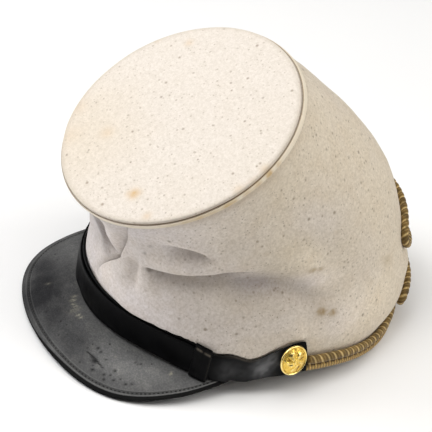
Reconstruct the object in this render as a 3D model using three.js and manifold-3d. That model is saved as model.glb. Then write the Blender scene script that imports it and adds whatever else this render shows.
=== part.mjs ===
// A white felt cap with a soft crown that leans forward, a flat round top, a black leather peak,
// a doubled leather chin strap with two keepers and two gilt buttons, and a twisted cord sewn
// round the back of the base and up the back of the crown.
//
// Millimetres, +Z up. The cap is drawn in its own frame first: the base oval lies in z = 0,
// the front (peak) is -Y, the wearer's left is +X. Angles run from the front (0 deg) through the
// left side (90 deg) to the back (180 deg). Then the whole cap is pitched back a few degrees, as it
// settles on the front edge of the peak and on the back of the base.

import * as THREE from 'three';
import { mergeVertices } from 'three/addons/utils/BufferGeometryUtils.js';
import Module from 'manifold-3d';

// ---------------------------------------------------------------- driving sizes
const BASE_LENGTH = 192;        // outside of the felt base, front to back
const BASE_WIDTH = 160;         // outside of the felt base, side to side
const FELT = 2.0;               // felt wall thickness
const TOP_LENGTH = 143.6;       // round top, along its slope
const TOP_WIDTH = 139.8;        // round top, across
const TOP_TILT = 34.9;          // forward tilt of the round top, degrees
const TOP_CENTRE = [0, -70.2, 126.3];
const TOP_THICK = 2.7;          // felt top with its rolled edge
const WELT = 1.1;               // how far the wall's turned seam stands out under the top
const GAP = 0.3;                // clearance between neighbouring pieces
const LEATHER_PEAK = 2.2;
const LEATHER_STRAP = 1.3;
const LEATHER_KEEPER = 1.1;
const PEAK_HALF_ANGLE = 63.1;   // one step to each side in the peak's table
const BUTTON_RADIUS = 9.3;
const BUTTON_ANGLE = 83.2;
const CORD_RADIUS = 2.75;       // the single cord on the back
const CORD_TALL = 5.4;          // the double cord round the base: half its height
const CORD_THICK = 2.4;         // and half its thickness
const BASE_DROP_FRONT = -5.0;   // lower edge of the felt behind the peak
const BASE_DROP_SIDE = -0.4;    // lower edge of the felt at the sides
const BASE_DROP_BACK = -2.3;    // lower edge of the felt at the centre back

// meridians of the felt wall: how far and how steeply each one leaves the base and meets the top
//                 rise   lean   fall   tuck      (mm, deg outward, mm, deg outward)
const PROFILE = {
  front: { rise: 38.97, lean: 17.45, fall: 42.97, tuck: -13.29 },
  side:  { rise: 53.13, lean: 6.18, fall: 51.93, tuck: -5.2 },
  back:  { rise: 89.73, lean: -3.26, fall: 110.52, tuck: 19.97 },
};
// soft swellings low at the back, on either side of the centre: how far out (mm), where (deg, height) and how wide
const SWELLS = [
  { out: 7.05, angle: 155.9, spread: 42, height: 0.1, reach: 0.15 },
  { out: 1.6, angle: 154, spread: 10, height: 0.17, reach: 0.03 },
];

// folds and dents of the felt wall: each runs along a path of angle (deg), height (0 base, 1 top) and
// depth (mm); sharp and soft are the widths of its two flanks, roll is the swell along its sharp flank
const FOLDS = [
  { name: 'side fold', sharp: 6, soft: 12, roll: 2.6,
    path: [[24, 0.55, 1], [32, 0.575, 3.4], [49, 0.597, 5], [65, 0.597, 4.4], [80, 0.54, 2.8], [102, 0.37, 0.4]] },
  { name: 'upper fold', sharp: 7, soft: 8, roll: 0.8,
    path: [[44, 0.82, 0.5], [52, 0.795, 2.2], [62, 0.76, 2.2], [70, 0.71, 0.4]] },
  { name: 'front pinch', sharp: 7, soft: 8, roll: 1.2,
    path: [[16, 0.9, 2], [14.5, 0.7, 4.6], [18, 0.58, 3]] },
  { name: 'front flap', sharp: 6, soft: 9, roll: 1.2,
    path: [[32, 0.9, 0.8], [27, 0.77, 2.6], [19, 0.6, 2]] },
  { name: 'front curl', sharp: 6, soft: 7, roll: 1,
    path: [[18.5, 0.575, 1.6], [10, 0.44, 2], [1, 0.28, 1.2], [-5, 0.2, 0.2]] },
  { name: 'front valley', sharp: 7, soft: 7, roll: 0.6,
    path: [[28, 0.66, 1], [27, 0.54, 2.6], [25, 0.41, 2.2], [24, 0.3, 0.2]] },
  { name: 'low hollow', sharp: 13, soft: 13, roll: 0,
    path: [[50, 0.5, 0.6], [75, 0.46, 2.2], [97, 0.38, 1.8], [110, 0.33, 0.2]] },
  { name: 'right pinch', sharp: 7, soft: 8, roll: 1,
    path: [[-16, 0.88, 1.4], [-19, 0.7, 3], [-24, 0.56, 2]] },
  { name: 'right fold', sharp: 7, soft: 12, roll: 2,
    path: [[-24, 0.56, 1], [-38, 0.58, 3], [-58, 0.57, 3.6], [-76, 0.52, 2], [-96, 0.4, 0.3]] },
];

// the two halves of the chin strap: angle, heights of the upper and lower edge, and how far the inner
// face stands off the felt at each edge
const STRAP_LEFT = [
  // angle top bottom offTop offBottom
  [90.1, 5.2, 4.0, 4.4, 4.7], [89.3, 15.0, 3.8, 2.7, 4.7], [88.4, 22.3, 3.5, 1.2, 4.7], [87.5, 24.0, 3.2, 0.9, 4.7], [84, 23.0, 2.3, 0.9, 4.7],
  [81, 21.0, 1.3, 1.0, 4.7], [78.9, 19.4, 0.9, 1.1, 4.7], [76.9, 17.5, 0.4, 1.2, 4.7], [73.1, 13.1, -1.6, 1.2, 4.7], [71, 11.5, -2.8, 1.2, 4.7],
  [69, 10.9, -3.7, 1.2, 4.8], [66.6, 11.9, -3.5, 1.2, 5.0], [64.4, 12.9, -3.2, 1.2, 5.4], [62.4, 13.2, -3.8, 1.4, 6.3], [60, 12.6, -3.9, 1.6, 6.8],
  [57.6, 12.2, -3.9, 1.9, 6.8], [55.8, 13.2, -2.1, 2.0, 6.2], [52.5, 15.4, -1.5, 1.8, 4.8], [49.3, 17.6, -0.2, 1.3, 3.2], [45.6, 18.9, 0.9, 0.7, 1.8],
  [41, 19.4, 1.2, 0.5, 1.1], [32, 20.2, 2.0, 0.5, 1.0], [21.5, 19.8, 1.4, 0.5, 1.0], [8.2, 19.8, 1.1, 0.5, 1.1], [-1.6, 20.6, 1.6, 0.5, 1.2],
  [-10, 20.9, 1.9, 0.5, 1.2], [-20, 20.4, 1.4, 0.5, 1.2], [-30, 19.4, 0.6, 0.5, 1.1], [-43, 17.4, -0.6, 0.9, 1.5], [-49, 15.8, -1.0, 1.5, 2.4], [-57.5, 13.2, -1.4, 1.6, 2.6],
];
const STRAP_RIGHT = [
  [-90.1, 5.2, 4.0, 4.4, 4.7], [-89.3, 15.3, 3.8, 2.7, 4.7], [-88.4, 22.8, 3.5, 1.2, 4.7], [-87.5, 24.6, 3.2, 0.9, 4.7], [-84, 24.0, 2.3, 0.9, 4.7],
  [-81, 22.6, 1.5, 1.0, 4.7], [-77, 19.0, 0.9, 1.2, 4.7], [-71, 14.4, -0.6, 1.7, 4.8], [-64, 13.6, -1.6, 2.6, 5.2], [-58, 13.6, -1.8, 3.6, 5.8],
  [-49, 15.2, -1.8, 3.6, 5.9], [-42, 16.6, -1.6, 2.9, 5.8], [-34, 17.4, -1.6, 2.3, 5.7], [-25, 17.8, -1.6, 2.25, 5.7], [-17, 18.0, -1.6, 2.25, 5.5],
  [-10, 18.2, -1.6, 2.25, 4.7], [0, 18.4, -1.8, 2.25, 4.6], [6, 18.4, -1.9, 2.25, 4.2], [17, 18.4, -1.3, 2.25, 3.6], [27, 18.8, -0.6, 2.25, 3.2],
  [36, 18.6, -0.6, 2.3, 3.5], [42, 17.6, -1.4, 2.4, 4.2], [45.6, 17.0, -2.0, 2.55, 4.8], [49.3, 15.8, -2.4, 3.15, 5.8], [52.5, 14.2, -2.9, 3.6, 7.2], [56.2, 12.2, -3.4, 3.8, 8.4],
];
// keepers: from and to angle; each loop is closed round both strap halves
const KEEPERS = [
  { name: 'keeper_left', from: 49.6, to: 55.8 },
  { name: 'keeper_right', from: -55.8, to: -49.6 },
];
// how far the peak reaches out from the base in plan, from the wearer's right corner to the left one
const PEAK_EDGE = [
  // side reach
  [-1.045, 0], [-0.99, 4.4], [-0.9, 10.4], [-0.84, 14.4], [-0.78, 18.6], [-0.72, 23.0], [-0.66, 27.4], [-0.6, 30.9], [-0.54, 33.0], [-0.48, 34.1],
  [-0.4, 34.6], [-0.3, 34.4], [-0.15, 33.8], [0, 33.4], [0.15, 33.5], [0.3, 33.9], [0.4, 33.6], [0.48, 32.5], [0.54, 30.8], [0.6, 28.4],
  [0.66, 25.5], [0.72, 22.2], [0.78, 18.8], [0.84, 15.0], [0.9, 10.9], [0.96, 6.8], [1.01, 3.2], [1.045, 0],
];
// middle of the double cord round the base: angle and height, from the strap's end to the centre back
const BASE_CORD = [
  [90.7, 7.6], [98, 7.1], [104, 6.2], [111, 4.4], [119, 2.4], [126, 1.25], [133, 1.1], [140, 1.55], [150, 2.35], [165, 3.15], [180, 3.4],
];
// cord ornament on the back, one closed loop drawn in to a waist: angle from the centre back and height up
// the wall, for one side from top to bottom
const BACK_CORD = [
  // side height
  [0, 0.333], [23, 0.319], [29, 0.284], [28, 0.247], [19, 0.218], [6, 0.187], [3, 0.152], [4, 0.126], [10, 0.11], [24, 0.096], [34, 0.079],
  [34, 0.0645], [20, 0.0595], [0, 0.0595],
];

// ---------------------------------------------------------------- small helpers
const RAD = Math.PI / 180;
const A = BASE_LENGTH / 2, B = BASE_WIDTH / 2;
const V3 = (x, y, z) => new THREE.Vector3(x, y, z);
const smooth = (x) => { const k = Math.min(1, Math.max(0, x)); return k * k * (3 - 2 * k); };

// an even, smooth function of the angle through its front, side and back values
function around(t, front, side, back) {
  return (front + back + 2 * side) / 4 + (front - back) / 2 * Math.cos(t) + (front + back - 2 * side) / 4 * Math.cos(2 * t);
}
// smooth interpolation of the rows of a table (first column is the place)
function lookup(table, x) {
  const rows = table[0][0] < table[table.length - 1][0] ? table : [...table].reverse();
  let i = 0;
  while (i < rows.length - 2 && x > rows[i + 1][0]) i++;
  const [p, a, b, q] = [rows[Math.max(i - 1, 0)], rows[i], rows[i + 1], rows[Math.min(i + 2, rows.length - 1)]];
  const h = b[0] - a[0], k = Math.min(1, Math.max(0, (x - a[0]) / h));
  return a.map((_, c) => {
    if (c === 0) return x;
    const d = (b[c] - a[c]) / h;
    const limit = (e) => (e * d <= 0 ? 0 : Math.sign(d) * Math.min(Math.abs(e), 3 * Math.abs(d)));
    const m0 = p === a ? d : limit((b[c] - p[c]) / (b[0] - p[0]));
    const m1 = q === b ? d : limit((q[c] - a[c]) / (q[0] - a[0]));
    const k2 = k * k, k3 = k2 * k;
    return (2 * k3 - 3 * k2 + 1) * a[c] + (k3 - 2 * k2 + k) * h * m0 + (3 * k2 - 2 * k3) * b[c] + (k3 - k2) * h * m1;
  });
}

function meshFrom(points, faces, name, colour, roughness, metalness = 0) {
  const g = new THREE.BufferGeometry();
  g.setAttribute('position', new THREE.Float32BufferAttribute(points.flatMap((p) => [p.x, p.y, p.z]), 3));
  g.setIndex(faces.flat());
  g.computeVertexNormals();
  return namedMesh(g, name, colour, roughness, metalness);
}
function namedMesh(g, name, colour, roughness, metalness = 0) {
  const m = new THREE.Mesh(g, new THREE.MeshStandardMaterial({ color: colour, roughness, metalness }));
  m.name = name;
  return m;
}
// a closed skin through rings of equal count, each ring a closed loop of points
function ringSolid(rings, closed) {
  const n = rings[0].length, points = rings.flat(), faces = [];
  const last = closed ? rings.length : rings.length - 1;
  for (let i = 0; i < last; i++) {
    const a = i * n, b = ((i + 1) % rings.length) * n;
    for (let j = 0; j < n; j++) {
      const k = (j + 1) % n;
      faces.push([a + j, b + j, b + k], [a + j, b + k, a + k]);
    }
  }
  if (!closed) {
    const e = (rings.length - 1) * n;
    for (let j = 1; j < n - 1; j++) { faces.push([0, j, j + 1]); faces.push([e, e + j + 1, e + j]); }
  }
  return { points, faces };
}
function outward({ points, faces }) {
  let volume = 0;
  for (const [a, b, c] of faces) volume += points[a].dot(V3().crossVectors(points[b], points[c]));
  return { points, faces: volume < 0 ? faces.map(([a, b, c]) => [a, c, b]) : faces };
}

// ---------------------------------------------------------------- the felt wall
const TOP_N = V3(0, -Math.sin(TOP_TILT * RAD), Math.cos(TOP_TILT * RAD));
const TOP_F = V3(0, -Math.cos(TOP_TILT * RAD), -Math.sin(TOP_TILT * RAD));
const TOP_C = V3(...TOP_CENTRE);

const baseAt = (t) => V3(B * Math.sin(t), -A * Math.cos(t), 0);
const baseOut = (t) => V3(Math.sin(t) / B, -Math.cos(t) / A, 0).normalize();
const topOut = (t) => V3(Math.sin(t), 0, 0).addScaledVector(TOP_F, Math.cos(t));
const topAt = (t) => TOP_C.clone().addScaledVector(V3(1, 0, 0), TOP_WIDTH / 2 * Math.sin(t))
  .addScaledVector(TOP_F, TOP_LENGTH / 2 * Math.cos(t)).addScaledVector(TOP_N, -TOP_THICK / 2 - GAP);

function smoothWall(t, s) {
  const p = (key) => around(t, PROFILE.front[key], PROFILE.side[key], PROFILE.back[key]);
  const lean = p('lean') * RAD, tuck = p('tuck') * RAD;
  const p0 = baseAt(t), p3 = topAt(t), out = baseOut(t);
  const p1 = p0.clone().addScaledVector(V3(0, 0, 1), p('rise') * Math.cos(lean)).addScaledVector(out, p('rise') * Math.sin(lean));
  const p2 = p3.clone().addScaledVector(TOP_N, -p('fall') * Math.cos(tuck)).addScaledVector(topOut(t), p('fall') * Math.sin(tuck));
  const r = 1 - s;
  const point = V3().addScaledVector(p0, r * r * r).addScaledVector(p1, 3 * s * r * r)
    .addScaledVector(p2, 3 * s * s * r).addScaledVector(p3, s * s * s);
  const turn = Math.abs(Math.atan2(Math.sin(t), Math.cos(t))) / RAD;
  for (const w of SWELLS) {
    point.addScaledVector(out, w.out * Math.exp(-(((turn - w.angle) / w.spread) ** 2))
      * Math.exp(-(((s - w.height) / w.reach) ** 2)) * (1 - Math.exp(-((s / 0.05) ** 2))));
  }
  return point.addScaledVector(topOut(t), WELT * smooth((s - 0.965) / 0.03));
}
function foldDepth(t, s) {
  const deg = Math.atan2(Math.sin(t), Math.cos(t)) / RAD;
  const perDeg = 1.45, tall = around(t, 100, 150, 205);
  let sum = 0;
  for (const f of FOLDS) {
    let best = null;
    for (let i = 0; i + 1 < f.path.length; i++) {
      const [a, b] = [f.path[i], f.path[i + 1]];
      const ux = (b[0] - a[0]) * perDeg, uy = (b[1] - a[1]) * tall;
      const wx = (deg - a[0]) * perDeg, wy = (s - a[1]) * tall;
      const k = Math.min(1, Math.max(0, (wx * ux + wy * uy) / (ux * ux + uy * uy)));
      const d = Math.hypot(wx - k * ux, wy - k * uy);
      if (!best || d < best.d) best = { d, side: Math.sign(ux * wy - uy * wx), depth: a[2] + (b[2] - a[2]) * k };
    }
    const width = best.side >= 0 ? f.sharp : f.soft;
    const reach = best.depth / Math.max(...f.path.map((row) => row[2]));
    sum -= best.depth * Math.exp(-((best.d / width) ** 2));
    if (best.side >= 0) sum += f.roll * reach * Math.exp(-(((best.d - 2.2 * f.sharp) / (1.2 * f.sharp)) ** 2));
  }
  return sum * smooth((s - 0.12) / 0.12) * smooth((0.985 - s) / 0.08);
}
function wallFrame(t, s, depth) {
  const e = 0.004;
  const at = (tt, ss) => smoothWall(tt, Math.min(1, Math.max(0, ss)));
  const n = V3().crossVectors(at(t + e, s).sub(at(t - e, s)), at(t, Math.min(1, s + e)).sub(at(t, Math.max(0, s - e)))).normalize();
  return { point: smoothWall(t, s).addScaledVector(n, depth), n };
}
// outward distance of the smooth felt from the base oval, at a height above the base
function feltAt(t, z) {
  if (z <= 0) return 0;
  const b = baseAt(t), n = baseOut(t), g = V3(-n.y, n.x, 0);
  let turn = t, w = b;
  for (let i = 0; i < 6; i++) {
    let [lo, hi] = [0, 0.6];
    for (let j = 0; j < 30; j++) { const m = (lo + hi) / 2; if (smoothWall(turn, m).z < z) lo = m; else hi = m; }
    w = smoothWall(turn, lo).sub(b);
    turn -= w.dot(g) / 88;
  }
  return w.x * n.x + w.y * n.y;
}
function nearFelt(t, z, off) {
  const p = baseAt(t).addScaledVector(baseOut(t), feltAt(t, z) + off);
  p.z = z;
  return p;
}

// ---------------------------------------------------------------- the peak
function peakTop(u, k) {
  const t = u * PEAK_HALF_ANGLE * RAD;
  const [, edge] = lookup(PEAK_EDGE, u);
  const w = -1.6 + (edge + 1.6) * k;
  const d = Math.max(w, 0);
  const p = V3((B + 2) * Math.sin(t), -(A + 2) * Math.cos(t), 0).addScaledVector(baseOut(t), w);
  const droop = u < 0 ? -0.085 : 0.03;   // bent a little unevenly: the wearer's right half stands higher
  p.z = -3.0 - (0.203 + droop * u * u) * d - 0.313 * d * d / 40;
  return p;
}
function peak() {
  const NU = 40, NK = 6, rings = [];
  for (let i = 0; i <= NU; i++) {
    const x = i / NU * 2 - 1, u = PEAK_EDGE[PEAK_EDGE.length - 1][0] * (Math.sin(x * Math.PI / 2) * 0.35 + x * 0.65);
    const upper = [], lower = [];
    for (let j = 0; j <= NK; j++) {
      const k = j / NK, p = peakTop(u, k);
      const slope = peakTop(u, Math.min(1, k + 0.02)).sub(peakTop(u, Math.max(0, k - 0.02)));
      const run = Math.hypot(slope.x, slope.y), out = baseOut(u * PEAK_HALF_ANGLE * RAD);
      const n = V3(out.x * -slope.z, out.y * -slope.z, run).normalize();
      upper.push(p);
      lower.push(p.clone().addScaledVector(n, -LEATHER_PEAK));
    }
    rings.push([...upper, ...lower.reverse()]);
  }
  return outward(ringSolid(rings, false));
}

// ---------------------------------------------------------------- how it settles: rear of the base and front of the peak
const peakShape = peak();
const REST_Y = A, REST_Z = BASE_DROP_BACK;
const PITCH = Math.max(...peakShape.points.map((p) => Math.atan2(REST_Z - p.z, REST_Y - p.y)));
const floorAt = (y) => REST_Z - (REST_Y - y) * Math.tan(PITCH);
// lower edge of the felt: lies flat on the ground at the back, lifts at the sides, runs down behind the peak
function hem(t, y) {
  const turn = Math.abs(Math.atan2(Math.sin(t), Math.cos(t))) / RAD;
  const free = BASE_DROP_SIDE + (BASE_DROP_FRONT - BASE_DROP_SIDE) * smooth((75 - turn) / 25);
  const lie = smooth((turn - 128) / 22);
  return free + (floorAt(y) - free) * lie;
}

function crownWall() {
  const NT = 76, NS = 17, outer = [], inner = [];
  for (let j = -1; j <= NS; j++) {
    const s = j < 2 ? Math.max(0, j) * 0.03 : (j - 1) / (NS - 1), ringO = [], ringI = [];
    for (let i = 0; i < NT; i++) {
      const tau = i / NT * 2 * Math.PI, t = tau - 0.3 * Math.sin(tau);
      if (j < 1) {
        const o = baseAt(t), q = baseAt(t).addScaledVector(baseOut(t), -FELT);
        if (j < 0) { o.z = hem(t, o.y); q.z = hem(t, q.y); }
        ringO.push(o); ringI.push(q);
      } else if (j === NS) {
        const o = smoothWall(t, 1);
        ringO.push(o); ringI.push(o.clone().addScaledVector(topOut(t), -FELT - WELT));
      } else {
        const { point, n } = wallFrame(t, s, foldDepth(t, s));
        ringO.push(point); ringI.push(point.clone().addScaledVector(n, -FELT));
      }
    }
    outer.push(ringO); inner.push(ringI);
  }
  const rings = [...outer, ...inner.reverse()];
  return outward(ringSolid(rings, true));
}

// ---------------------------------------------------------------- the round top
function crownTop() {
  const h = TOP_THICK / 2, r = TOP_LENGTH / 2, profile = [[0, -h], [r - 2.2, -h]];
  for (let i = 0; i <= 3; i++) { const a = (-90 + i * 60) * RAD; profile.push([r - h + h * Math.cos(a), h * Math.sin(a)]); }
  profile.push([0, h]);
  const g = new THREE.LatheGeometry(profile.map(([x, y]) => new THREE.Vector2(x, y)), 76);
  g.rotateX(Math.PI / 2);
  g.scale(TOP_WIDTH / TOP_LENGTH, 1, 1);
  const m = namedMesh(g, 'crown_top', 0xece3d6, 0.95);
  m.rotation.x = TOP_TILT * RAD;
  m.position.copy(TOP_C);
  return m;
}

// ---------------------------------------------------------------- chin strap, keepers, buttons
function strapRing(table, deg, face = 0) {
  const [, top, bottom, offTop, offBottom] = lookup(table, deg), t = deg * RAD, inner = [], outer = [];
  for (let i = 0; i <= 3; i++) {
    const k = i / 3, z = top + (bottom - top) * k, off = offTop + (offBottom - offTop) * k;
    inner.push(nearFelt(t, z, off - face));
    outer.push(nearFelt(t, z, off + LEATHER_STRAP + face));
  }
  return [...inner, ...outer.reverse()];
}
function strap(table) {
  const from = Math.min(...table.map((r) => r[0])), to = Math.max(...table.map((r) => r[0]));
  const stops = new Set(table.map((r) => r[0]));
  for (let d = Math.ceil(from / 2) * 2; d < to; d += 2) if (![...stops].some((s) => Math.abs(s - d) < 0.7)) stops.add(d);
  const rings = [...stops].sort((a, b) => a - b).map((d) => strapRing(table, d));
  return outward(ringSolid(rings, false));
}
// a leather loop round both strap halves: four corners inside, four outside, swept over its width
function keeper({ from, to }) {
  const rings = [], steps = 4;
  for (let i = 0; i <= steps; i++) {
    const deg = from + (to - from) * i / steps, t = deg * RAD;
    const [, topA, botA, oTopA, oBotA] = lookup(STRAP_LEFT, deg), [, topB, botB, oTopB, oBotB] = lookup(STRAP_RIGHT, deg);
    const top = Math.max(topA, topB) + GAP + 0.1, low = GAP + 0.2;
    const hole = [
      [top, oTopA - GAP], [top, oTopB + LEATHER_STRAP + GAP], [botB - low - 0.35, oBotB + LEATHER_STRAP + GAP], [botA - low, oBotA - GAP],
    ];
    const k = LEATHER_KEEPER;
    const skin = [[top + k, hole[0][1] - k], [top + k, hole[1][1] + k], [hole[2][0] - 0.7 * k, hole[2][1] + k], [hole[3][0] - 0.7 * k, hole[3][1] - k]];
    rings.push([...hole, ...skin].map(([z, off]) => nearFelt(t, z, off)));
  }
  const points = rings.flat(), faces = [];
  for (let i = 0; i <= steps; i++) for (let j = 0; j < 4; j++) {
    const k = (j + 1) % 4, a = i * 8, b = (i + 1) * 8;
    if (i < steps) {
      faces.push([a + j, a + k, b + k], [a + j, b + k, b + j]);
      faces.push([a + 4 + j, b + 4 + k, a + 4 + k], [a + 4 + j, b + 4 + j, b + 4 + k]);
    }
    if (i === 0) faces.push([a + j, a + 4 + j, a + 4 + k], [a + j, a + 4 + k, a + k]);
    if (i === steps) faces.push([a + j, a + 4 + k, a + 4 + j], [a + j, a + k, a + 4 + k]);
  }
  return outward({ points, faces });
}
// place and direction of a button: on the outer face of its strap, a little above the middle
function buttonSeat(table, sign) {
  const t = sign * BUTTON_ANGLE * RAD, [, top, bottom, offTop, offBottom] = lookup(table, sign * BUTTON_ANGLE);
  const high = nearFelt(t, top, offTop + LEATHER_STRAP), low = nearFelt(t, bottom, offBottom + LEATHER_STRAP);
  const centre = low.clone().lerp(high, 0.62), rise = high.clone().sub(low).normalize();
  const out = baseOut(t), face = out.addScaledVector(rise, -out.dot(rise)).normalize();
  const back = V3().crossVectors(V3(0, 0, 1), out).multiplyScalar(sign).normalize();
  const n = face.clone().addScaledVector(rise, 0.15).addScaledVector(back, 0.2).normalize();  // hangs askew on its shank, turned up and back
  const turn = new THREE.Quaternion().setFromUnitVectors(V3(0, 1, 0), n);
  return { centre: centre.addScaledVector(face, 2.8), turn };
}
function button(name, seat) {
  const R = BUTTON_RADIUS;
  // shank, flat back, rolled rim and low dome, from the axis out and back
  const profile = [[0, -4.3], [1.5, -4.3], [1.5, 0], [R - 0.9, 0], [R, 0.7], [R - 0.2, 1.5], [R - 0.9, 1.7], [R - 1.5, 1.3],
    [R - 3.4, 2.5], [R - 5.8, 3.3], [0, 3.7]];
  const g = new THREE.LatheGeometry(profile.map(([x, y]) => new THREE.Vector2(x, y)), 28);
  const m = namedMesh(g, name, 0xc59a3f, 0.35, 1);
  m.position.copy(seat.centre);
  m.quaternion.copy(seat.turn);
  return m;
}

// ---------------------------------------------------------------- cords
// a round or oval tube along points that each know the felt's outward direction there
function tube(path, sides, closed, thick, tall) {
  const rings = [], n = path.length;
  const at = (i) => (closed ? path[(i + n) % n] : path[Math.min(n - 1, Math.max(0, i))]).point;
  path.forEach(({ point: p, out }, i) => {
    const dir = at(i + 1).clone().sub(at(i - 1)).normalize();
    const side = out.clone().addScaledVector(dir, -out.dot(dir)).normalize();
    const other = V3().crossVectors(dir, side), ring = [];
    for (let j = 0; j < sides; j++) {
      const a = (j + 0.5) / sides * 2 * Math.PI;
      ring.push(p.clone().addScaledVector(side, thick * Math.cos(a)).addScaledVector(other, tall * Math.sin(a)));
    }
    rings.push(ring);
  });
  return outward(ringSolid(rings, closed));
}
function baseCord() {
  const path = [], half = BASE_CORD[BASE_CORD.length - 1][0] - BASE_CORD[0][0], n = 48;
  for (let i = 0; i <= n; i++) {
    const turn = BASE_CORD[0][0] + 2 * half * i / n, deg = turn > 180 ? 360 - turn : turn, t = turn * RAD;
    const [, z] = lookup(BASE_CORD, deg), up = nearFelt(t, z + 4, 0).sub(nearFelt(t, z - 4, 0)).normalize();
    const out = baseOut(t), face = out.clone().addScaledVector(up, -out.dot(up)).normalize();
    path.push({ point: nearFelt(t, z, CORD_THICK + 0.8), out: face });
  }
  return tube(path, 10, false, CORD_THICK, CORD_TALL);
}
function backCord() {
  const perDeg = 1.4, tall = 205;
  const half = BACK_CORD.map(([side, height]) => V3(side * perDeg, height * tall, 0));
  const knots = [...half, ...half.slice(1, -1).reverse().map((k) => V3(-k.x, k.y, 0))];
  const line = new THREE.CatmullRomCurve3(knots, true, 'centripetal'), path = [], n = 84;
  for (let i = 0; i < n; i++) {
    const q = line.getPointAt(i / n), { point, n: out } = wallFrame((180 - q.x / perDeg) * RAD, q.y / tall, 0);
    path.push({ point: point.addScaledVector(out, CORD_RADIUS + 0.4), out });
  }
  return tube(path, 8, true, CORD_RADIUS, CORD_RADIUS);
}

// ---------------------------------------------------------------- boolean cut of the strap by the button's shank
const wasm = await Module();
wasm.setup();
function solidOf(geometry) {
  let g = geometry.clone();
  g.deleteAttribute('normal'); g.deleteAttribute('uv');
  g = mergeVertices(g, 1e-4);
  const tri = [];
  for (let i = 0; i < g.index.count; i += 3) {
    const [a, b, c] = [g.index.getX(i), g.index.getX(i + 1), g.index.getX(i + 2)];
    if (a !== b && b !== c && c !== a) tri.push(a, b, c);
  }
  return new wasm.Manifold(new wasm.Mesh({ numProp: 3, vertProperties: new Float32Array(g.attributes.position.array), triVerts: new Uint32Array(tri) }));
}
function pierce(mesh, seat, radius) {
  const pin = new THREE.CylinderGeometry(radius, radius, 12, 14);
  pin.applyQuaternion(seat.turn);
  pin.translate(seat.centre.x, seat.centre.y, seat.centre.z);
  const out = solidOf(mesh.geometry).subtract(solidOf(pin)).getMesh();
  const g = new THREE.BufferGeometry();
  g.setAttribute('position', new THREE.Float32BufferAttribute(out.vertProperties, 3));
  g.setIndex(Array.from(out.triVerts));
  g.computeVertexNormals();
  mesh.geometry = g;
  return mesh;
}

// ---------------------------------------------------------------- assembly
const LEATHER = 0x17171a, CORD = 0x8a7444;
const build = ({ points, faces }, name, colour, rough) => meshFrom(points, faces, name, colour, rough);
const seatLeft = buttonSeat(STRAP_LEFT, 1), seatRight = buttonSeat(STRAP_RIGHT, -1);

const cap = new THREE.Group();
cap.add(
  build(crownWall(), 'crown_wall', 0xd9d0c4, 0.95),
  crownTop(),
  build(peakShape, 'peak', LEATHER, 0.55),
  pierce(build(strap(STRAP_LEFT), 'strap_left', LEATHER, 0.5), seatLeft, 2.0),
  pierce(build(strap(STRAP_RIGHT), 'strap_right', LEATHER, 0.5), seatRight, 2.0),
  ...KEEPERS.map((k) => build(keeper(k), k.name, LEATHER, 0.5)),
  button('button_left', seatLeft),
  button('button_right', seatRight),
  build(baseCord(), 'base_cord', CORD, 0.8),
  build(backCord(), 'back_cord', CORD, 0.8),
);

// settle on the ground, centred over the middle of its outline
const pitched = new THREE.Group();
pitched.rotation.x = -PITCH;
pitched.add(cap);
const part = new THREE.Group();
part.add(pitched);
part.updateMatrixWorld(true);
const box = new THREE.Box3().setFromObject(part, true);
pitched.position.set(-(box.min.x + box.max.x) / 2, -(box.min.y + box.max.y) / 2, -box.min.z);
part.updateMatrixWorld(true);

export default part;
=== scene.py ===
import math

import bpy
import numpy as np
from mathutils import Matrix, Vector


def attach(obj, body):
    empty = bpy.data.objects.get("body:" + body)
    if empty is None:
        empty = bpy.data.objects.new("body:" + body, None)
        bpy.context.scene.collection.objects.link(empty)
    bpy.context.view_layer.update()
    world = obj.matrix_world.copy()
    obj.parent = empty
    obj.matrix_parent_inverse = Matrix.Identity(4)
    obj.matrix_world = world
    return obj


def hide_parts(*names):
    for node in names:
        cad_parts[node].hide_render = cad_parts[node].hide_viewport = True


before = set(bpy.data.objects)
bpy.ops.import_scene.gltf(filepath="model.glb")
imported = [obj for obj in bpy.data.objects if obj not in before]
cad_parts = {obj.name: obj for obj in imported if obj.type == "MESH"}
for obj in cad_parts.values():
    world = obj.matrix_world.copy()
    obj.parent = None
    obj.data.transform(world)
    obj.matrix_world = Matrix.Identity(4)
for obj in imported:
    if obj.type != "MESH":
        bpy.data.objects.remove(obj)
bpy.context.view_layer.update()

# ------------------------------------------------------------------ sizes, in the cap's own frame (mm)
# The base oval lies in z = 0, the front (peak) is -Y, the wearer's left is +X. Angles run from the front (0)
# through the left side (90 deg) to the back (180 deg). place() pitches the cap back and sets it on the ground.
A, B = 96.0, 80.0
FELT = 2.0
TOP_LENGTH, TOP_WIDTH, TOP_THICK = 143.6, 139.8, 2.7
TOP_TILT = math.radians(34.9)
TOP_CENTRE = np.array([0.0, -70.2, 126.3])
GAP = 0.3
WELT = 1.1
LEATHER_PEAK, LEATHER_STRAP, LEATHER_KEEPER = 2.2, 1.3, 1.1
PEAK_HALF_ANGLE = 63.1
BUTTON_RADIUS, BUTTON_ANGLE = 9.3, 83.2
CORD_RADIUS, CORD_TALL, CORD_THICK = 2.75, 5.4, 2.4
PITCH = math.radians(4.9343)
SHIFT_Y, SHIFT_Z = 12.8086, 10.5488
RAD = math.pi / 180

PROFILE = {  # front, side, back
    "rise": (38.97, 53.13, 89.73),
    "lean": (17.45, 6.18, -3.26),
    "fall": (42.97, 51.93, 110.52),
    "tuck": (-13.29, -5.2, 19.97),
}
SWELLS = [  # out, angle, spread, height, reach
    (7.05, 155.9, 42.0, 0.1, 0.15),
    (1.6, 154.0, 10.0, 0.17, 0.03),
]
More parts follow.
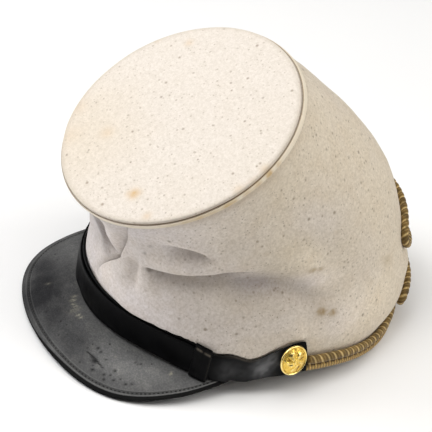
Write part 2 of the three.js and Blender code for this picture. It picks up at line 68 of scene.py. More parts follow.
# folds of the felt: widths of the sharp and the soft flank, swell along the sharp flank, how far that flank hangs over
# the crease, how far
#  the painted shade reaches and how strong the painted crease line is, and a path of angle (deg), height (0 base, 1
#  top) and depth (mm)
FOLDS = [  # sharp side, soft side, roll, overhang, reach of the painted shade, strength of the painted crease line, then angle, height and depth along it
    (2.0, 15.0, 3.2, 3.2, 9.0, 0.6, [(30, 0.586, 0.05), (32.5, 0.587, 0.9), (34.5, 0.589, 2.6), (38.1, 0.592, 4.8), (43.4, 0.593, 6.4), (49.6, 0.593, 7.2), (56.3, 0.59, 6.8),
                                     (62.9, 0.588, 5.6), (69.9, 0.588, 3.8), (76, 0.572, 1.6), (82, 0.55, 0.1)]),
    (3.0, 9.0, 1.2, 1.0, 6.0, 0.1, [(46, 0.815, 0.1), (50.5, 0.797, 1.0), (53.1, 0.782, 2.2), (58, 0.754, 3.0), (61.6, 0.727, 2.8), (64.5, 0.699, 1.4), (66.2, 0.675, 0.1)]),
    (1.6, 7.0, 1.6, 2.6, 13.0, 0.5, [(17, 0.96, 2.4), (13.1, 0.817, 4.2), (11.6, 0.722, 5.4), (12.2, 0.647, 5.8), (13.4, 0.595, 3.4), (14.6, 0.56, 0.4)]),
    (0.9, 6.0, 0.8, 1.6, 1.7, 0.9, [(36, 0.96, 1.2), (32.3, 0.878, 2.2), (28.9, 0.801, 2.6), (24.8, 0.726, 2.8), (20.3, 0.634, 2.6), (16.9, 0.552, 1.8)]),
    (0.9, 3.4, 0.6, 1.6, 2.0, 0.9, [(16.8, 0.542, 1.8), (11.5, 0.477, 2.0), (6.1, 0.392, 2.0), (2.3, 0.311, 1.6), (-0.1, 0.238, 0.6)]),
    (3.2, 6.0, 0.6, 0.0, 0.0, 0.0, [(29.4, 0.67, 0.3), (28.4, 0.615, 1.8), (26.9, 0.565, 3.2), (25.3, 0.485, 3.2), (24.4, 0.405, 1.8), (23.6, 0.32, 0.1)]),
    (12.0, 13.0, 0.0, 0.0, 0.0, 0.0, [(50, 0.5, 0.6), (75, 0.46, 2.0), (97, 0.38, 1.6), (110, 0.33, 0.2)]),
    (5.0, 9.0, 0.5, 0.0, 0.0, 0.0, [(108, 0.30, 0.1), (102, 0.33, 1.4), (95, 0.365, 2.2), (88, 0.41, 1.8), (80, 0.46, 0.6), (75, 0.49, 0.1)]),
    (9.0, 11.0, 0.0, 0.0, 0.0, 0.0, [(72, 0.58, 0.3), (82, 0.535, 1.8), (95, 0.46, 2.2), (106, 0.395, 1.0), (114, 0.35, 0.1)]),
    (7.0, 10.0, 0.0, 0.0, 0.0, 0.0, [(63, 0.53, 0.2), (71.5, 0.525, 1.4), (77, 0.508, 1.9), (82, 0.492, 1.9), (87.5, 0.472, 1.4), (92, 0.445, 0.7), (98, 0.42, 0.1)]),
    (22.0, 22.0, 0.0, 0.0, 0.0, 0.0, [(-45, 0.3, 0.5), (-28, 0.42, 1.6), (-8, 0.5, 1.6), (4, 0.5, 0.5)]),
    (2.4, 8.0, 1.2, 2.6, 4.0, 0.5, [(-16, 0.93, 0.8), (-19, 0.7, 3.8), (-24, 0.56, 2.0)]),
    (2.2, 13.0, 2.4, 3.0, 7.0, 0.5, [(-22, 0.555, 0.5), (-38, 0.58, 4.0), (-58, 0.57, 4.8), (-76, 0.52, 2.6), (-96, 0.4, 0.2)]),
    (2.4, 8.0, 0.9, 2.0, 4.0, 0.2, [(-46, 0.82, 0.2), (-56, 0.79, 2.2), (-68, 0.74, 2.0), (-76, 0.68, 0.1)]),
]
SOFT_FOLDS = [(max(6.0, 2.4 * f[0]), max(7.0, f[1]), f[2], 0.0, 0.0, 0.0, f[6]) for f in FOLDS]

STRAP_LEFT = np.array([  # angle, top, bottom, offTop, offBottom
    [90.1, 5.2, 4.0, 4.4, 4.7], [89.3, 15.0, 3.8, 2.7, 4.7], [88.4, 22.3, 3.5, 1.2, 4.7], [87.5, 24.0, 3.2, 0.9, 4.7], [84.0, 23.0, 2.3, 0.9, 4.7],
    [81.0, 21.0, 1.3, 1.0, 4.7], [78.9, 19.4, 0.9, 1.1, 4.7], [76.9, 17.5, 0.4, 1.2, 4.7], [73.1, 13.1, -1.6, 1.2, 4.7], [71.0, 11.5, -2.8, 1.2, 4.7],
    [69.0, 10.9, -3.7, 1.2, 4.8], [66.6, 11.9, -3.5, 1.2, 5.0], [64.4, 12.9, -3.2, 1.2, 5.4], [62.4, 13.2, -3.8, 1.4, 6.3], [60.0, 12.6, -3.9, 1.6, 6.8],
    [57.6, 12.2, -3.9, 1.9, 6.8], [55.8, 13.2, -2.1, 2.0, 6.2], [52.5, 15.4, -1.5, 1.8, 4.8], [49.3, 17.6, -0.2, 1.3, 3.2], [45.6, 18.9, 0.9, 0.7, 1.8],
    [41.0, 19.4, 1.2, 0.5, 1.1], [32.0, 20.2, 2.0, 0.5, 1.0], [21.5, 19.8, 1.4, 0.5, 1.0], [8.2, 19.8, 1.1, 0.5, 1.1], [-1.6, 20.6, 1.6, 0.5, 1.2],
    [-10.0, 20.9, 1.9, 0.5, 1.2], [-20.0, 20.4, 1.4, 0.5, 1.2], [-30.0, 19.4, 0.6, 0.5, 1.1], [-43.0, 17.4, -0.6, 0.9, 1.5], [-49.0, 15.8, -1.0, 1.5, 2.4],
    [-57.5, 13.2, -1.4, 1.6, 2.6],
])[::-1]
STRAP_RIGHT = np.array([
    [-90.1, 5.2, 4.0, 4.4, 4.7], [-89.3, 15.3, 3.8, 2.7, 4.7], [-88.4, 22.8, 3.5, 1.2, 4.7], [-87.5, 24.6, 3.2, 0.9, 4.7], [-84.0, 24.0, 2.3, 0.9, 4.7],
    [-81.0, 22.6, 1.5, 1.0, 4.7], [-77.0, 19.0, 0.9, 1.2, 4.7], [-71.0, 14.4, -0.6, 1.7, 4.8], [-64.0, 13.6, -1.6, 2.6, 5.2], [-58.0, 13.6, -1.8, 3.6, 5.8],
    [-49.0, 15.2, -1.8, 3.6, 5.9], [-42.0, 16.6, -1.6, 2.9, 5.8], [-34.0, 17.4, -1.6, 2.3, 5.7], [-25.0, 17.8, -1.6, 2.25, 5.7], [-17.0, 18.0, -1.6, 2.25, 5.5],
    [-10.0, 18.2, -1.6, 2.25, 4.7], [0.0, 18.4, -1.8, 2.25, 4.6], [6.0, 18.4, -1.9, 2.25, 4.2], [17.0, 18.4, -1.3, 2.25, 3.6], [27.0, 18.8, -0.6, 2.25, 3.2],
    [36.0, 18.6, -0.6, 2.3, 3.5], [42.0, 17.6, -1.4, 2.4, 4.2], [45.6, 17.0, -2.0, 2.55, 4.8], [49.3, 15.8, -2.4, 3.15, 5.8], [52.5, 14.2, -2.9, 3.6, 7.2],
    [56.2, 12.2, -3.4, 3.8, 8.4],
])
KEEPERS = {"keeper_left": (49.6, 55.8), "keeper_right": (-55.8, -49.6)}
BASE_CORD = np.array([  # angle, height of the cord's middle
    [90.7, 7.6], [98.0, 7.1], [104.0, 6.2], [111.0, 4.4], [119.0, 2.4], [126.0, 1.25], [133.0, 1.1], [140.0, 1.55],
    [150.0, 2.35], [165.0, 3.15], [180.0, 3.4],
])
PEAK_EDGE = np.array([  # side, reach out from the base
    [-1.045, 0], [-0.99, 4.4], [-0.9, 10.4], [-0.84, 14.4], [-0.78, 18.6], [-0.72, 23.0], [-0.66, 27.4], [-0.6, 30.9], [-0.54, 33.0], [-0.48, 34.1],
    [-0.4, 34.6], [-0.3, 34.4], [-0.15, 33.8], [0, 33.4], [0.15, 33.5], [0.3, 33.9], [0.4, 33.6], [0.48, 32.5], [0.54, 30.8], [0.6, 28.4],
    [0.66, 25.5], [0.72, 22.2], [0.78, 18.8], [0.84, 15.0], [0.9, 10.9], [0.96, 6.8], [1.01, 3.2], [1.045, 0],
])
BACK_CORD = [  # angle from the centre back, height up the wall
    [0.0, 0.333], [23.0, 0.319], [29.0, 0.284], [28.0, 0.247], [19.0, 0.218], [6.0, 0.187], [3.0, 0.152], [4.0, 0.126], [10.0, 0.11],
    [24.0, 0.096], [34.0, 0.079], [34.0, 0.0645], [20.0, 0.0595], [0.0, 0.0595],
]


# ------------------------------------------------------------------ small helpers
def smooth(x):
    k = np.clip(x, 0.0, 1.0)
    return k * k * (3 - 2 * k)


def vec(x, y, z):
    return np.stack(np.broadcast_arrays(np.asarray(x, float), y, z), -1)


def unit(v):
    return v / np.maximum(np.linalg.norm(v, axis=-1, keepdims=True), 1e-12)


def around(t, front, side, back):
    return (front + back + 2 * side) / 4 + (front - back) / 2 * np.cos(t) + (front + back - 2 * side) / 4 * np.cos(2 * t)


def lookup(table, x):
    """Smooth interpolation of the rows of a table, first column rising; returns the other columns."""
    x = np.asarray(x, float)
    n = len(table)
    i = np.clip(np.searchsorted(table[:, 0], x, side="left") - 1, 0, n - 2)
    p, a, b, q = table[np.maximum(i - 1, 0)], table[i], table[i + 1], table[np.minimum(i + 2, n - 1)]
    h = (b[..., 0] - a[..., 0])[..., None]
    k = np.clip((x - a[..., 0])[..., None] / h, 0, 1)
    d = (b - a)[..., 1:] / h

    def limit(e):
        return np.where(e * d <= 0, 0, np.sign(d) * np.minimum(np.abs(e), 3 * np.abs(d)))

    wide0 = np.maximum((b[..., 0] - p[..., 0])[..., None], 1e-9)
    wide1 = np.maximum((q[..., 0] - a[..., 0])[..., None], 1e-9)
    m0 = np.where((i == 0)[..., None], d, limit((b - p)[..., 1:] / wide0))
    m1 = np.where((i == n - 2)[..., None], d, limit((q - a)[..., 1:] / wide1))
    k2, k3 = k * k, k * k * k
    out = (2 * k3 - 3 * k2 + 1) * a[..., 1:] + (k3 - 2 * k2 + k) * h * m0 + (3 * k2 - 2 * k3) * b[..., 1:] + (k3 - k2) * h * m1
    return np.moveaxis(out, -1, 0)


def spread(n, density, lo, hi, closed=False):
    """n places from lo to hi, closer together where density is high."""
    x = np.linspace(lo, hi, 6001)
    w = density(x)
    c = np.concatenate([[0], np.cumsum((w[1:] + w[:-1]) / 2)])
    return np.interp(np.linspace(0, c[-1], n, endpoint=not closed), c, x)


def value_noise(u, v, nu, nv, seed, wrap=True):
    """Smooth noise in -1..1 over u, v in 0..1, with nu by nv cells; wraps round in u."""
    rng = np.random.default_rng(seed)
    g = rng.uniform(-1, 1, (nu + 1, nv + 2))
    if wrap:
        g[-1] = g[0]
    x, y = (u % 1.0 if wrap else np.clip(u, 0, 0.99999)) * nu, np.clip(v, 0, 0.99999) * nv
    i, j = np.floor(x).astype(int) % (nu if wrap else nu + 1), np.floor(y).astype(int)
    i = np.minimum(i, nu - 1)
    fx, fy = x - np.floor(x), y - np.floor(y)
    fx, fy = fx * fx * fx * (fx * (fx * 6 - 15) + 10), fy * fy * fy * (fy * (fy * 6 - 15) + 10)
    return (g[i, j] * (1 - fx) + g[i + 1, j] * fx) * (1 - fy) + (g[i, j + 1] * (1 - fx) + g[i + 1, j + 1] * fx) * fy


def place(p):
    """From the cap's own frame (mm) to the scene (m)."""
    c, s = math.cos(PITCH), math.sin(PITCH)
    q = np.empty_like(p, dtype=float)
    q[..., 0] = p[..., 0]
    q[..., 1] = p[..., 1] * c + p[..., 2] * s + SHIFT_Y
    q[..., 2] = -p[..., 1] * s + p[..., 2] * c + SHIFT_Z
    return q * 0.001


def turn(v):
    c, s = math.cos(PITCH), math.sin(PITCH)
    return np.array([v[0], v[1] * c + v[2] * s, -v[1] * s + v[2] * c])


def grid_faces(nu, nv, cu, cv):
    iu, iv = np.arange(nu if cu else nu - 1), np.arange(nv if cv else nv - 1)
    ju, jv = (iu + 1) % nu, (iv + 1) % nv
    quad = [iu[:, None] * nv + iv, ju[:, None] * nv + iv, ju[:, None] * nv + jv, iu[:, None] * nv + jv]
    return np.stack(quad, -1).reshape(-1, 4)


def end_caps(nu, nv):
    """Closes the first and last ring of a tube of nu rings with nv points (nv even), in strips across."""
    out = []
    for base, back in ((0, False), ((nu - 1) * nv, True)):
        for j in range(nv // 2 - 1):
            f = [base + j, base + j + 1, base + nv - 2 - j, base + nv - 1 - j]
            if len(set(f)) == 4:
                out.append(f[::-1] if back else f)
    return np.array(out)


def make(name, points, faces, floats=None, colours=None):
    """A smooth mesh object from points in the cap's frame (mm) and quads; faces turned outward."""
    co = place(points.reshape(-1, 3))
    faces = np.asarray(faces)
    a, b, c, d = (co[faces[:, k]] for k in range(4))
    volume = np.einsum("ij,ij->i", a, np.cross(b, c)).sum() + np.einsum("ij,ij->i", a, np.cross(c, d)).sum()
    if volume < 0:
        faces = faces[:, ::-1]
    me = bpy.data.meshes.new(name)
    quads = [tuple(dict.fromkeys(f)) for f in faces.tolist()]
    me.from_pydata(co.tolist(), [], [f for f in quads if len(f) > 2])
    me.update()
    me.polygons.foreach_set("use_smooth", np.ones(len(me.polygons), dtype=bool))
    for key, val in (floats or {}).items():
        at = me.attributes.new(key, "FLOAT", "POINT")
        at.data.foreach_set("value", np.ascontiguousarray(val, dtype=np.float32).ravel())
    for key, val in (colours or {}).items():
        rgba = np.ones((len(co), 4), np.float32)
        rgba[:, :3] = val.reshape(-1, 3)
        at = me.attributes.new(key, "FLOAT_COLOR", "POINT")
        at.data.foreach_set("color", rgba.ravel())
    obj = bpy.data.objects.new(name, me)
    bpy.context.scene.collection.objects.link(obj)
    return obj


# ------------------------------------------------------------------ camera, at the photo's angle
def set_camera():
    az, el, roll = (math.radians(v) for v in (53.67611, 33.84965, 15.94824))
    dist, mm_px, cx, cy = 1301.0, 0.59664, 257.25623, 219.49184
    back = np.array([math.sin(az) * math.cos(el), -math.cos(az) * math.cos(el), math.sin(el)])
    right = np.array([math.cos(az), math.sin(az), 0.0])
    up = np.cross(back, right)
    r = math.cos(roll) * right + math.sin(roll) * up
    u = -math.sin(roll) * right + math.cos(roll) * up
    eye = np.array([0, 0, 50.0]) + back * dist
    look = -back + (216 - cx) * mm_px / dist * r - (216 - cy) * mm_px / dist * u
    look = look / np.linalg.norm(look)
    side = unit(np.cross(look, u))
    top = np.cross(side, look)
    cam = bpy.data.cameras.new("camera")
    cam.sensor_fit = "HORIZONTAL"
    cam.sensor_width = 36.0
    cam.lens = dist / mm_px * 36.0 / 432.0
    cam.clip_start, cam.clip_end = 0.05, 60.0
    obj = bpy.data.objects.new("camera", cam)
    bpy.context.scene.collection.objects.link(obj)
    m = np.eye(4)
    m[:3, 0], m[:3, 1], m[:3, 2] = turn(side), turn(top), -turn(look)
    m[:3, 3] = place(eye[None])[0]
    obj.matrix_world = Matrix(m.tolist())
    bpy.context.scene.camera = obj


set_camera()

# ------------------------------------------------------------------ shape of the felt wall
TOP_N = np.array([0.0, -math.sin(TOP_TILT), math.cos(TOP_TILT)])
TOP_F = np.array([0.0, -math.cos(TOP_TILT), -math.sin(TOP_TILT)])
X = np.array([1.0, 0.0, 0.0])
Z = np.array([0.0, 0.0, 1.0])


def base_at(t):
    return vec(B * np.sin(t), -A * np.cos(t), 0 * t)


def base_out(t):
    return unit(vec(np.sin(t) / B, -np.cos(t) / A, 0 * t))


def top_out(t):
    return np.sin(t)[..., None] * X + np.cos(t)[..., None] * TOP_F


def top_at(t):
    return (TOP_CENTRE + TOP_WIDTH / 2 * np.sin(t)[..., None] * X + TOP_LENGTH / 2 * np.cos(t)[..., None] * TOP_F
            - (TOP_THICK / 2 + GAP) * TOP_N)


def smooth_wall(t, s):
    t, s = np.broadcast_arrays(np.asarray(t, float), np.asarray(s, float))
    rise, lean, fall, tuck = (around(t, *PROFILE[k]) for k in ("rise", "lean", "fall", "tuck"))
    lean, tuck = lean * RAD, tuck * RAD
    p0, p3, out = base_at(t), top_at(t), base_out(t)
    p1 = p0 + (rise * np.cos(lean))[..., None] * Z + (rise * np.sin(lean))[..., None] * out
    p2 = p3 - (fall * np.cos(tuck))[..., None] * TOP_N + (fall * np.sin(tuck))[..., None] * top_out(t)
    r = 1 - s
    p = (r ** 3)[..., None] * p0 + (3 * s * r * r)[..., None] * p1 + (3 * s * s * r)[..., None] * p2 + (s ** 3)[..., None] * p3
    deg = np.abs(np.arctan2(np.sin(t), np.cos(t))) / RAD
    for amount, angle, wide, height, reach in SWELLS:
        k = amount * np.exp(-((deg - angle) / wide) ** 2) * np.exp(-((s - height) / reach) ** 2) * (1 - np.exp(-(s / 0.05) ** 2))
        p = p + k[..., None] * out
    return p


def wall_normal(t, s):
    e = 0.004
    dt = smooth_wall(t + e, s) - smooth_wall(t - e, s)
    ds = smooth_wall(t, np.minimum(1, s + e)) - smooth_wall(t, np.maximum(0, s - e))
    return unit(np.cross(dt, ds))


def rounded(path, steps=5):
    """A finer path through the rows of a coarse one."""
    p = np.array(path, float)
    q = np.vstack([2 * p[0] - p[1], p, 2 * p[-1] - p[-2]])
    out = []
    for i in range(1, len(q) - 2):
        for k in np.arange(steps) / steps:
            a, b, c, d = q[i - 1], q[i], q[i + 1], q[i + 2]
            out.append(0.5 * (2 * b + (c - a) * k + (2 * a - 5 * b + 4 * c - d) * k * k + (3 * b - a - 3 * c + d) * k ** 3))
    out.append(p[-1])
    return np.array(out)


def fold_shape(t, s, folds):
    """How far the folds move the felt out (mm) and along its face toward a crease (deg, height), how near a
    crease is, as a painted dark line along it, and how far in its hollow, as painted shade."""
    deg = np.arctan2(np.sin(t), np.cos(t)) / RAD
    tall = around(t, 100.0, 150.0, 205.0)
    total, slide_x, slide_y, crease, shade = (np.zeros_like(deg) for _ in range(5))
    for sharp, soft, roll, over, dark, line, rows in folds:
        path = rounded(rows)
        most = max(row[2] for row in rows)
        best = np.full(deg.shape, 1e9)
        side, depth, gx, gy = (np.zeros(deg.shape) for _ in range(4))
        for a, b in zip(path[:-1], path[1:]):
            ux, uy = (b[0] - a[0]) * 1.45, (b[1] - a[1]) * tall
            wx, wy = (deg - a[0]) * 1.45, (s - a[1]) * tall
            k = np.clip((wx * ux + wy * uy) / (ux * ux + uy * uy), 0, 1)
            vx, vy = wx - k * ux, wy - k * uy
            d = np.hypot(vx, vy)
            near = d < best
            best = np.where(near, d, best)
            side = np.where(near, np.sign(ux * wy - uy * wx), side)
            depth = np.where(near, np.maximum(a[2] + (b[2] - a[2]) * k, 0), depth)
            gx, gy = np.where(near, vx / np.maximum(d, 1e-6), gx), np.where(near, vy / np.maximum(d, 1e-6), gy)
        width = np.where(side >= 0, sharp, soft)
        total -= depth * np.exp(-(best / width) ** 2)
        reach = np.where(side >= 0, depth / most, 0)
        total += roll * reach * np.exp(-((best - 2.2 * max(sharp, 4.0)) / (1.2 * max(sharp, 4.0))) ** 2)
        w = max(sharp, 1.0)
        pull = over * reach * smooth(best / (1.2 * w)) * np.exp(-(np.maximum(best - 1.2 * w, 0) / (2 * w + 2)) ** 2)
        slide_x -= pull * gx
        slide_y -= pull * gy
        # painted shade: a dark line along the crease, and shade that spreads from it over the soft flank
        if dark > 0:
            crease = np.maximum(crease, line * np.clip((depth - 0.6) / 1.6, 0, 1) * np.exp(-(best / 0.9) ** 2))
            shade = np.maximum(shade, np.clip(depth / 3.8, 0, 1) * np.exp(-best / dark) * np.where(side >= 0, np.exp(-best / 0.8), 1))
    fade = smooth((s - 0.12) / 0.12) * smooth((0.99 - s) / 0.05)
    return total * fade, slide_x * fade / 1.45, slide_y * fade / tall, crease * fade, shade * fade


def felt_at(t, z):
    """Outward distance of the smooth felt from the base oval, at a height above the base."""
    t, z = np.broadcast_arrays(np.asarray(t, float), np.asarray(z, float))
    b, n = base_at(t), base_out(t)
    g = vec(-n[..., 1], n[..., 0], 0 * t)
    turned, w = t.copy(), b * 0
    for _ in range(5):
        lo, hi = np.zeros_like(t), np.full_like(t, 0.6)
        for _ in range(20):
            m = (lo + hi) / 2
            low = smooth_wall(turned, m)[..., 2] < z
            lo, hi = np.where(low, m, lo), np.where(low, hi, m)
        w = smooth_wall(turned, lo) - b
        turned = turned - (w * g).sum(-1) / 88
    return np.where(z <= 0, 0.0, (w * n).sum(-1))


def near_felt(t, z, off):
    p = base_at(t) + (felt_at(t, z) + off)[..., None] * base_out(t)
    p[..., 2] = z
    return p


def floor_at(y):
    return -2.3 - (96.0 - y) * math.tan(PITCH)


def hem(t, y):
    deg = np.abs(np.arctan2(np.sin(t), np.cos(t))) / RAD
    free = -0.4 - 4.6 * smooth((75 - deg) / 25)
    return free + (floor_at(y) - free) * smooth((deg - 128) / 22)


def build_wall():
    def t_density(d):
        a = (d + 180) % 360 - 180
        return 1 + 2.6 * smooth((a + 12) / 14) * smooth((82 - a) / 16) + 0.7 * np.exp(-((a + 40) / 36) ** 2)

    def s_density(s):
        return 1 + 1.3 * np.exp(-((s - 0.585) / 0.09) ** 2) + 7.0 * np.exp(-((1 - s) / 0.022) ** 2)

    nt, ns, ni = 520, 146, 26
    deg = spread(nt, t_density, 0, 360, closed=True)
    t = deg * RAD
    s = spread(ns, s_density, 0, 1)
    T, S = np.meshgrid(t, s, indexing="ij")
    n = wall_normal(T, S)
    tall = around(T, 100.0, 150.0, 205.0)
    below_top = (1 - S) * tall
    fold, slide_t, slide_s, crease, shade = fold_shape(T, S, FOLDS)
    turn_ = (T / (2 * math.pi)) % 1
    wave = 0.55 * value_noise(turn_, S, 17, 5, 11) + 0.28 * value_noise(turn_, S, 43, 12, 12) + 0.1 * value_noise(turn_, S, 120, 34, 13)
    calm = smooth((S - 0.1) / 0.14) * smooth((0.985 - S) / 0.06)
    lip = 1.0 * np.exp(-((below_top - 1.3) / 1.3) ** 4) - 0.2 * np.exp(-((below_top - 3.6) / 0.9) ** 2)
    lip = lip + WELT * 0.25 * np.exp(-(below_top / 6.0) ** 2)
    outer = smooth_wall(T + slide_t * RAD, np.clip(S + slide_s, 0, 1))
    # the felt swells a little over the upper edge of the strap
    d_signed = np.arctan2(np.sin(T), np.cos(T)) / RAD
    rim_l = np.where(d_signed > -57, lookup(STRAP_LEFT, np.clip(d_signed, -57.5, 87.5))[0], -50.0)
    rim_r = np.where(d_signed < 56, lookup(STRAP_RIGHT, np.clip(d_signed, -87.5, 56))[0], -50.0)
    above = outer[..., 2] - np.maximum(rim_l, rim_r)
    double = smooth((56 - np.abs(d_signed)) / 8)
    puff = (1.9 + 0.6 * double) * smooth((above + 0.1) / 1.6) * np.exp(-(np.maximum(above - 1.6, 0) / 10.0) ** 2) * smooth((90.5 - np.abs(d_signed)) / 2.5) * smooth((d_signed - 6) / 22)
    outer = outer + (fold + wave * calm + puff)[..., None] * n + lip[..., None] * top_out(T)
    outer = outer + (0.8 * np.exp(-(below_top / 1.6) ** 2))[..., None] * TOP_N

    # lower edge, rounded over the felt's thickness
    low, radius = [], FELT / 2
    tall_r = np.clip(-0.5 * hem(t, base_at(t)[:, 1]), 0.2, 1.0)
    edge_y = base_at(t)[:, 1]
    h = hem(t, edge_y)
    for phi in np.linspace(-math.pi, 0, 9):
        p = base_at(t) + (-radius + radius * math.cos(phi)) * base_out(t)
        p[:, 2] = np.maximum(h + tall_r + tall_r * math.sin(phi), floor_at(p[:, 1]))
        low.append(p)
    mid = base_at(t)
    mid[:, 2] = (h + tall_r) * 0.4
    low.append(mid)
    low = np.stack(low, 1)

    # inner face, from the top down
    si = np.linspace(0.975, 0.0, ni)
    Ti, Si = np.meshgrid(t, si, indexing="ij")
    inside = smooth_wall(Ti, Si) + (np.minimum(fold_shape(Ti, Si, SOFT_FOLDS)[0], 0.6) - FELT - 0.5 * smooth((Si - 0.1) / 0.1))[..., None] * wall_normal(Ti, Si)
    flat = base_at(t) - FELT * base_out(t)
    inside[:, -1] = flat
    crest = outer[:, -1]
    inner_top = smooth_wall(t, np.ones_like(t)) - FELT * top_out(t)
    drop = crest - 0.7 * TOP_N - 0.15 * top_out(t)
    bridge = np.stack([drop, drop * 0.5 + inner_top * 0.5, inner_top], 1)
    points = np.concatenate([low, outer, bridge, inside], 1)
    faces = grid_faces(nt, points.shape[1], True, True)

    # where the felt is warm or cool in tone, soiled or stained, where its welt is paler, and where light and shade are
    # painted on it: shade under the welt, lighter and darker patches, and shade in creases, hollows and pinches
    a = np.abs(np.arctan2(np.sin(T), np.cos(T))) / RAD
    signed = np.arctan2(np.sin(T), np.cos(T)) / RAD
    warm = np.clip(0.05 + 0.95 * smooth((a - 22) / 92) + 0.12 * value_noise(turn_, S, 9, 4, 21), 0, 1)
    # cooler, greyer spots; the strongest, along the side trough, gives the painted shade there its cool tint
    warm = np.clip(warm - 0.62 * np.exp(-((signed - 79) / 13) ** 2 - ((S - 0.49 + 0.004 * (signed - 79)) / 0.07) ** 2) - 0.4 * np.exp(-((signed - 100) / 8) ** 2 - ((S - 0.44) / 0.06) ** 2)
                   - 0.25 * np.exp(-((signed - 105) / 11) ** 2 - ((S - 0.18) / 0.09) ** 2) - 0.25 * np.exp(-((signed - 115) / 10) ** 2 - ((S - 0.7) / 0.1) ** 2), 0, 1)
    soil = np.clip(0.12 + 0.75 * smooth((a - 18) / 50) + 0.25 * smooth((0.35 - S) / 0.3) + 0.3 * value_noise(turn_, S, 11, 5, 22), 0, 1)
    stain = np.zeros_like(S)
    for angle, height, r, amount in [(98, 0.28, 3.4, 1.0), (101.6, 0.257, 2.9, 0.95), (97, 0.262, 1.6, 0.4), (101, 0.5, 2.8, 0.7), (104, 0.487, 2.2, 0.65),
                                     (133.5, 0.315, 4.2, 0.35), (132, 0.34, 2.6, 0.25), (118, 0.62, 2.2, 0.25), (88, 0.66, 2.0, 0.25)]:
        d = np.hypot((signed - angle) * 1.45, (S - height) * tall)
        rough = 1 + 0.35 * value_noise(turn_ * 1.0, S, 260, 90, int(angle * 7))
        stain = np.maximum(stain, amount * np.exp(-(d / (0.95 * r * rough)) ** 3))
    welt = smooth((below_top - 0.1) / 0.3) * smooth((2.9 - below_top) / 0.8)
    tan = np.exp(-((below_top - 1.3) / 1.6) ** 2) * (0.06 + 0.8 * smooth((signed - 48) / 36) * smooth((119 - signed) / 12))
    tan = np.clip(tan * (0.8 + 0.9 * value_noise(turn_, S * 0, 110, 1, 31)), 0, 1)
    # painted shade in a band under the welt, tinted brown
    under = np.exp(-((below_top - 4.2) / 2.6) ** 2) * (0.12 + 0.7 * smooth((signed - 40) / 40) * smooth((122 - signed) / 18))
    seam = np.exp(-(below_top / 0.16) ** 2)
    tone = np.zeros_like(S)  # painted light and shade: lighter places on rolls, ridges and facets, darker ones in hollows
    for angle, height, wx, wy, amount in [(60, 0.88, 22, 0.1, 0.85), (-8, 0.62, 14, 0.2, -0.4), (8, 0.36, 13, 0.14, 0.7), (52, 0.67, 16, 0.06, 0.75),
                                          (112, 0.42, 12, 0.14, -0.1), (122, 0.2, 14, 0.1, 0.75), (78, 0.3, 16, 0.12, -0.15), (50, 0.3, 12, 0.12, -0.25), (92, 0.405, 7, 0.035, -0.55), (98, 0.36, 7, 0.02, -0.35), (100, 0.415, 5, 0.02, 0.3), (90, 0.6, 14, 0.12, -0.25),
                                          (18.5, 0.76, 5.5, 0.12, 0.95), (116, 0.63, 13, 0.13, -0.5), (108, 0.22, 10, 0.1, 0.45), (11, 0.3, 9, 0.1, 0.35), (67, 0.84, 12, 0.07, 0.35), (33, 0.345, 9, 0.1, 0.4), (-4, 0.485, 6, 0.1, -0.3),
                                          (100.5, 0.47, 6, 0.055, 0.9), (106, 0.42, 6, 0.07, 0.7),
                               (94, 0.21, 6, 0.07, 0.42), (103.5, 0.17, 6, 0.06, 0.3), (110, 0.165, 6, 0.06, 0.15), (115, 0.70, 9, 0.09, 0.2), (99.5, 0.39, 4, 0.03, 0.4), (91, 0.35, 4, 0.025, -0.35), (96.6, 0.325, 3, 0.022, -0.35), (103, 0.57, 8, 0.06, 0.6)]:
        tone = tone + amount * np.exp(-((signed - angle) / wx) ** 2 - ((S - height) / wy) ** 2)
    # painted shade: the dark hollow beside the front pinch
    pinch = np.array([(3.5, 0.93, 0.7), (4.0, 0.82, 0.9), (4.2, 0.72, 1.0), (5.0, 0.65, 1.0), (5.6, 0.59, 0.85), (6.4, 0.53, 0.6), (7.2, 0.48, 0.2)])
    hollow = np.zeros_like(S)
    for p, q in zip(pinch[:-1], pinch[1:]):
        for k in np.linspace(0, 1, 5):
            c = p + (q - p) * k
            hollow = np.maximum(hollow, c[2] * np.exp(-((signed - c[0]) * 1.45 / np.where(signed < c[0], 7.5, 9.0)) ** 2 - ((S - c[1]) * tall / 5.0) ** 2))
    # painted shade along the soft trough that runs on from the side fold toward the back
    trough = np.array([(63, 0.49, 0.3), (71.5, 0.498, 0.66), (77, 0.503, 0.74), (82, 0.49, 0.74), (87.5, 0.468, 0.54), (92, 0.43, 0.36), (96.5, 0.355, 0.42), (101, 0.31, 0.3), (107, 0.29, 0.02)])
    for p, q in zip(trough[:-1], trough[1:]):
        for k in np.linspace(0, 1, 6):
            c = p + (q - p) * k
            hollow = np.maximum(hollow, c[2] * np.exp(-((signed - c[0]) / 4.0) ** 2 - ((S - c[1]) / np.where(S > c[1], 0.062, 0.115)) ** 2))
    shade = np.maximum(shade, hollow)
    oval = np.zeros_like(S)  # painted shade: dark spots for two small pinches beside the front flap, and for the end of the side fold
    for angle, height, rx, ry, amount in [(41.5, 0.80, 1.6, 0.9, 0.65), (36.5, 0.735, 1.0, 1.4, 0.6), (33.8, 0.57, 1.6, 1.7, 0.75)]:
        oval = np.maximum(oval, amount * np.exp(-((signed - angle) * 1.45 / rx) ** 2 - ((S - height) * tall / ry) ** 2))

    def whole(v, fill_low, fill_in):
        return np.concatenate([np.full(low.shape[:2], fill_low), v, np.full((nt, 3 + ni), fill_in)], 1)

    floats = {"warm": whole(warm, 0.6, 0.7), "soil": whole(soil, 0.8, 0.5), "stain": whole(stain, 0, 0), "tan": whole(np.clip(tan, 0, 1), 0, 0),
              "under": whole(np.clip(under, 0, 1), 0, 0), "seam": whole(seam, 0, 0), "welt": whole(welt, 0, 0),
              "crease": whole(np.clip(crease + oval, 0, 1), 0, 0), "shade": whole(np.clip(shade, 0, 1), 0, 0), "tone": whole(np.clip(tone, -1, 1), 0, 0)}
    return make("crown_wall_felt", points, faces, floats)


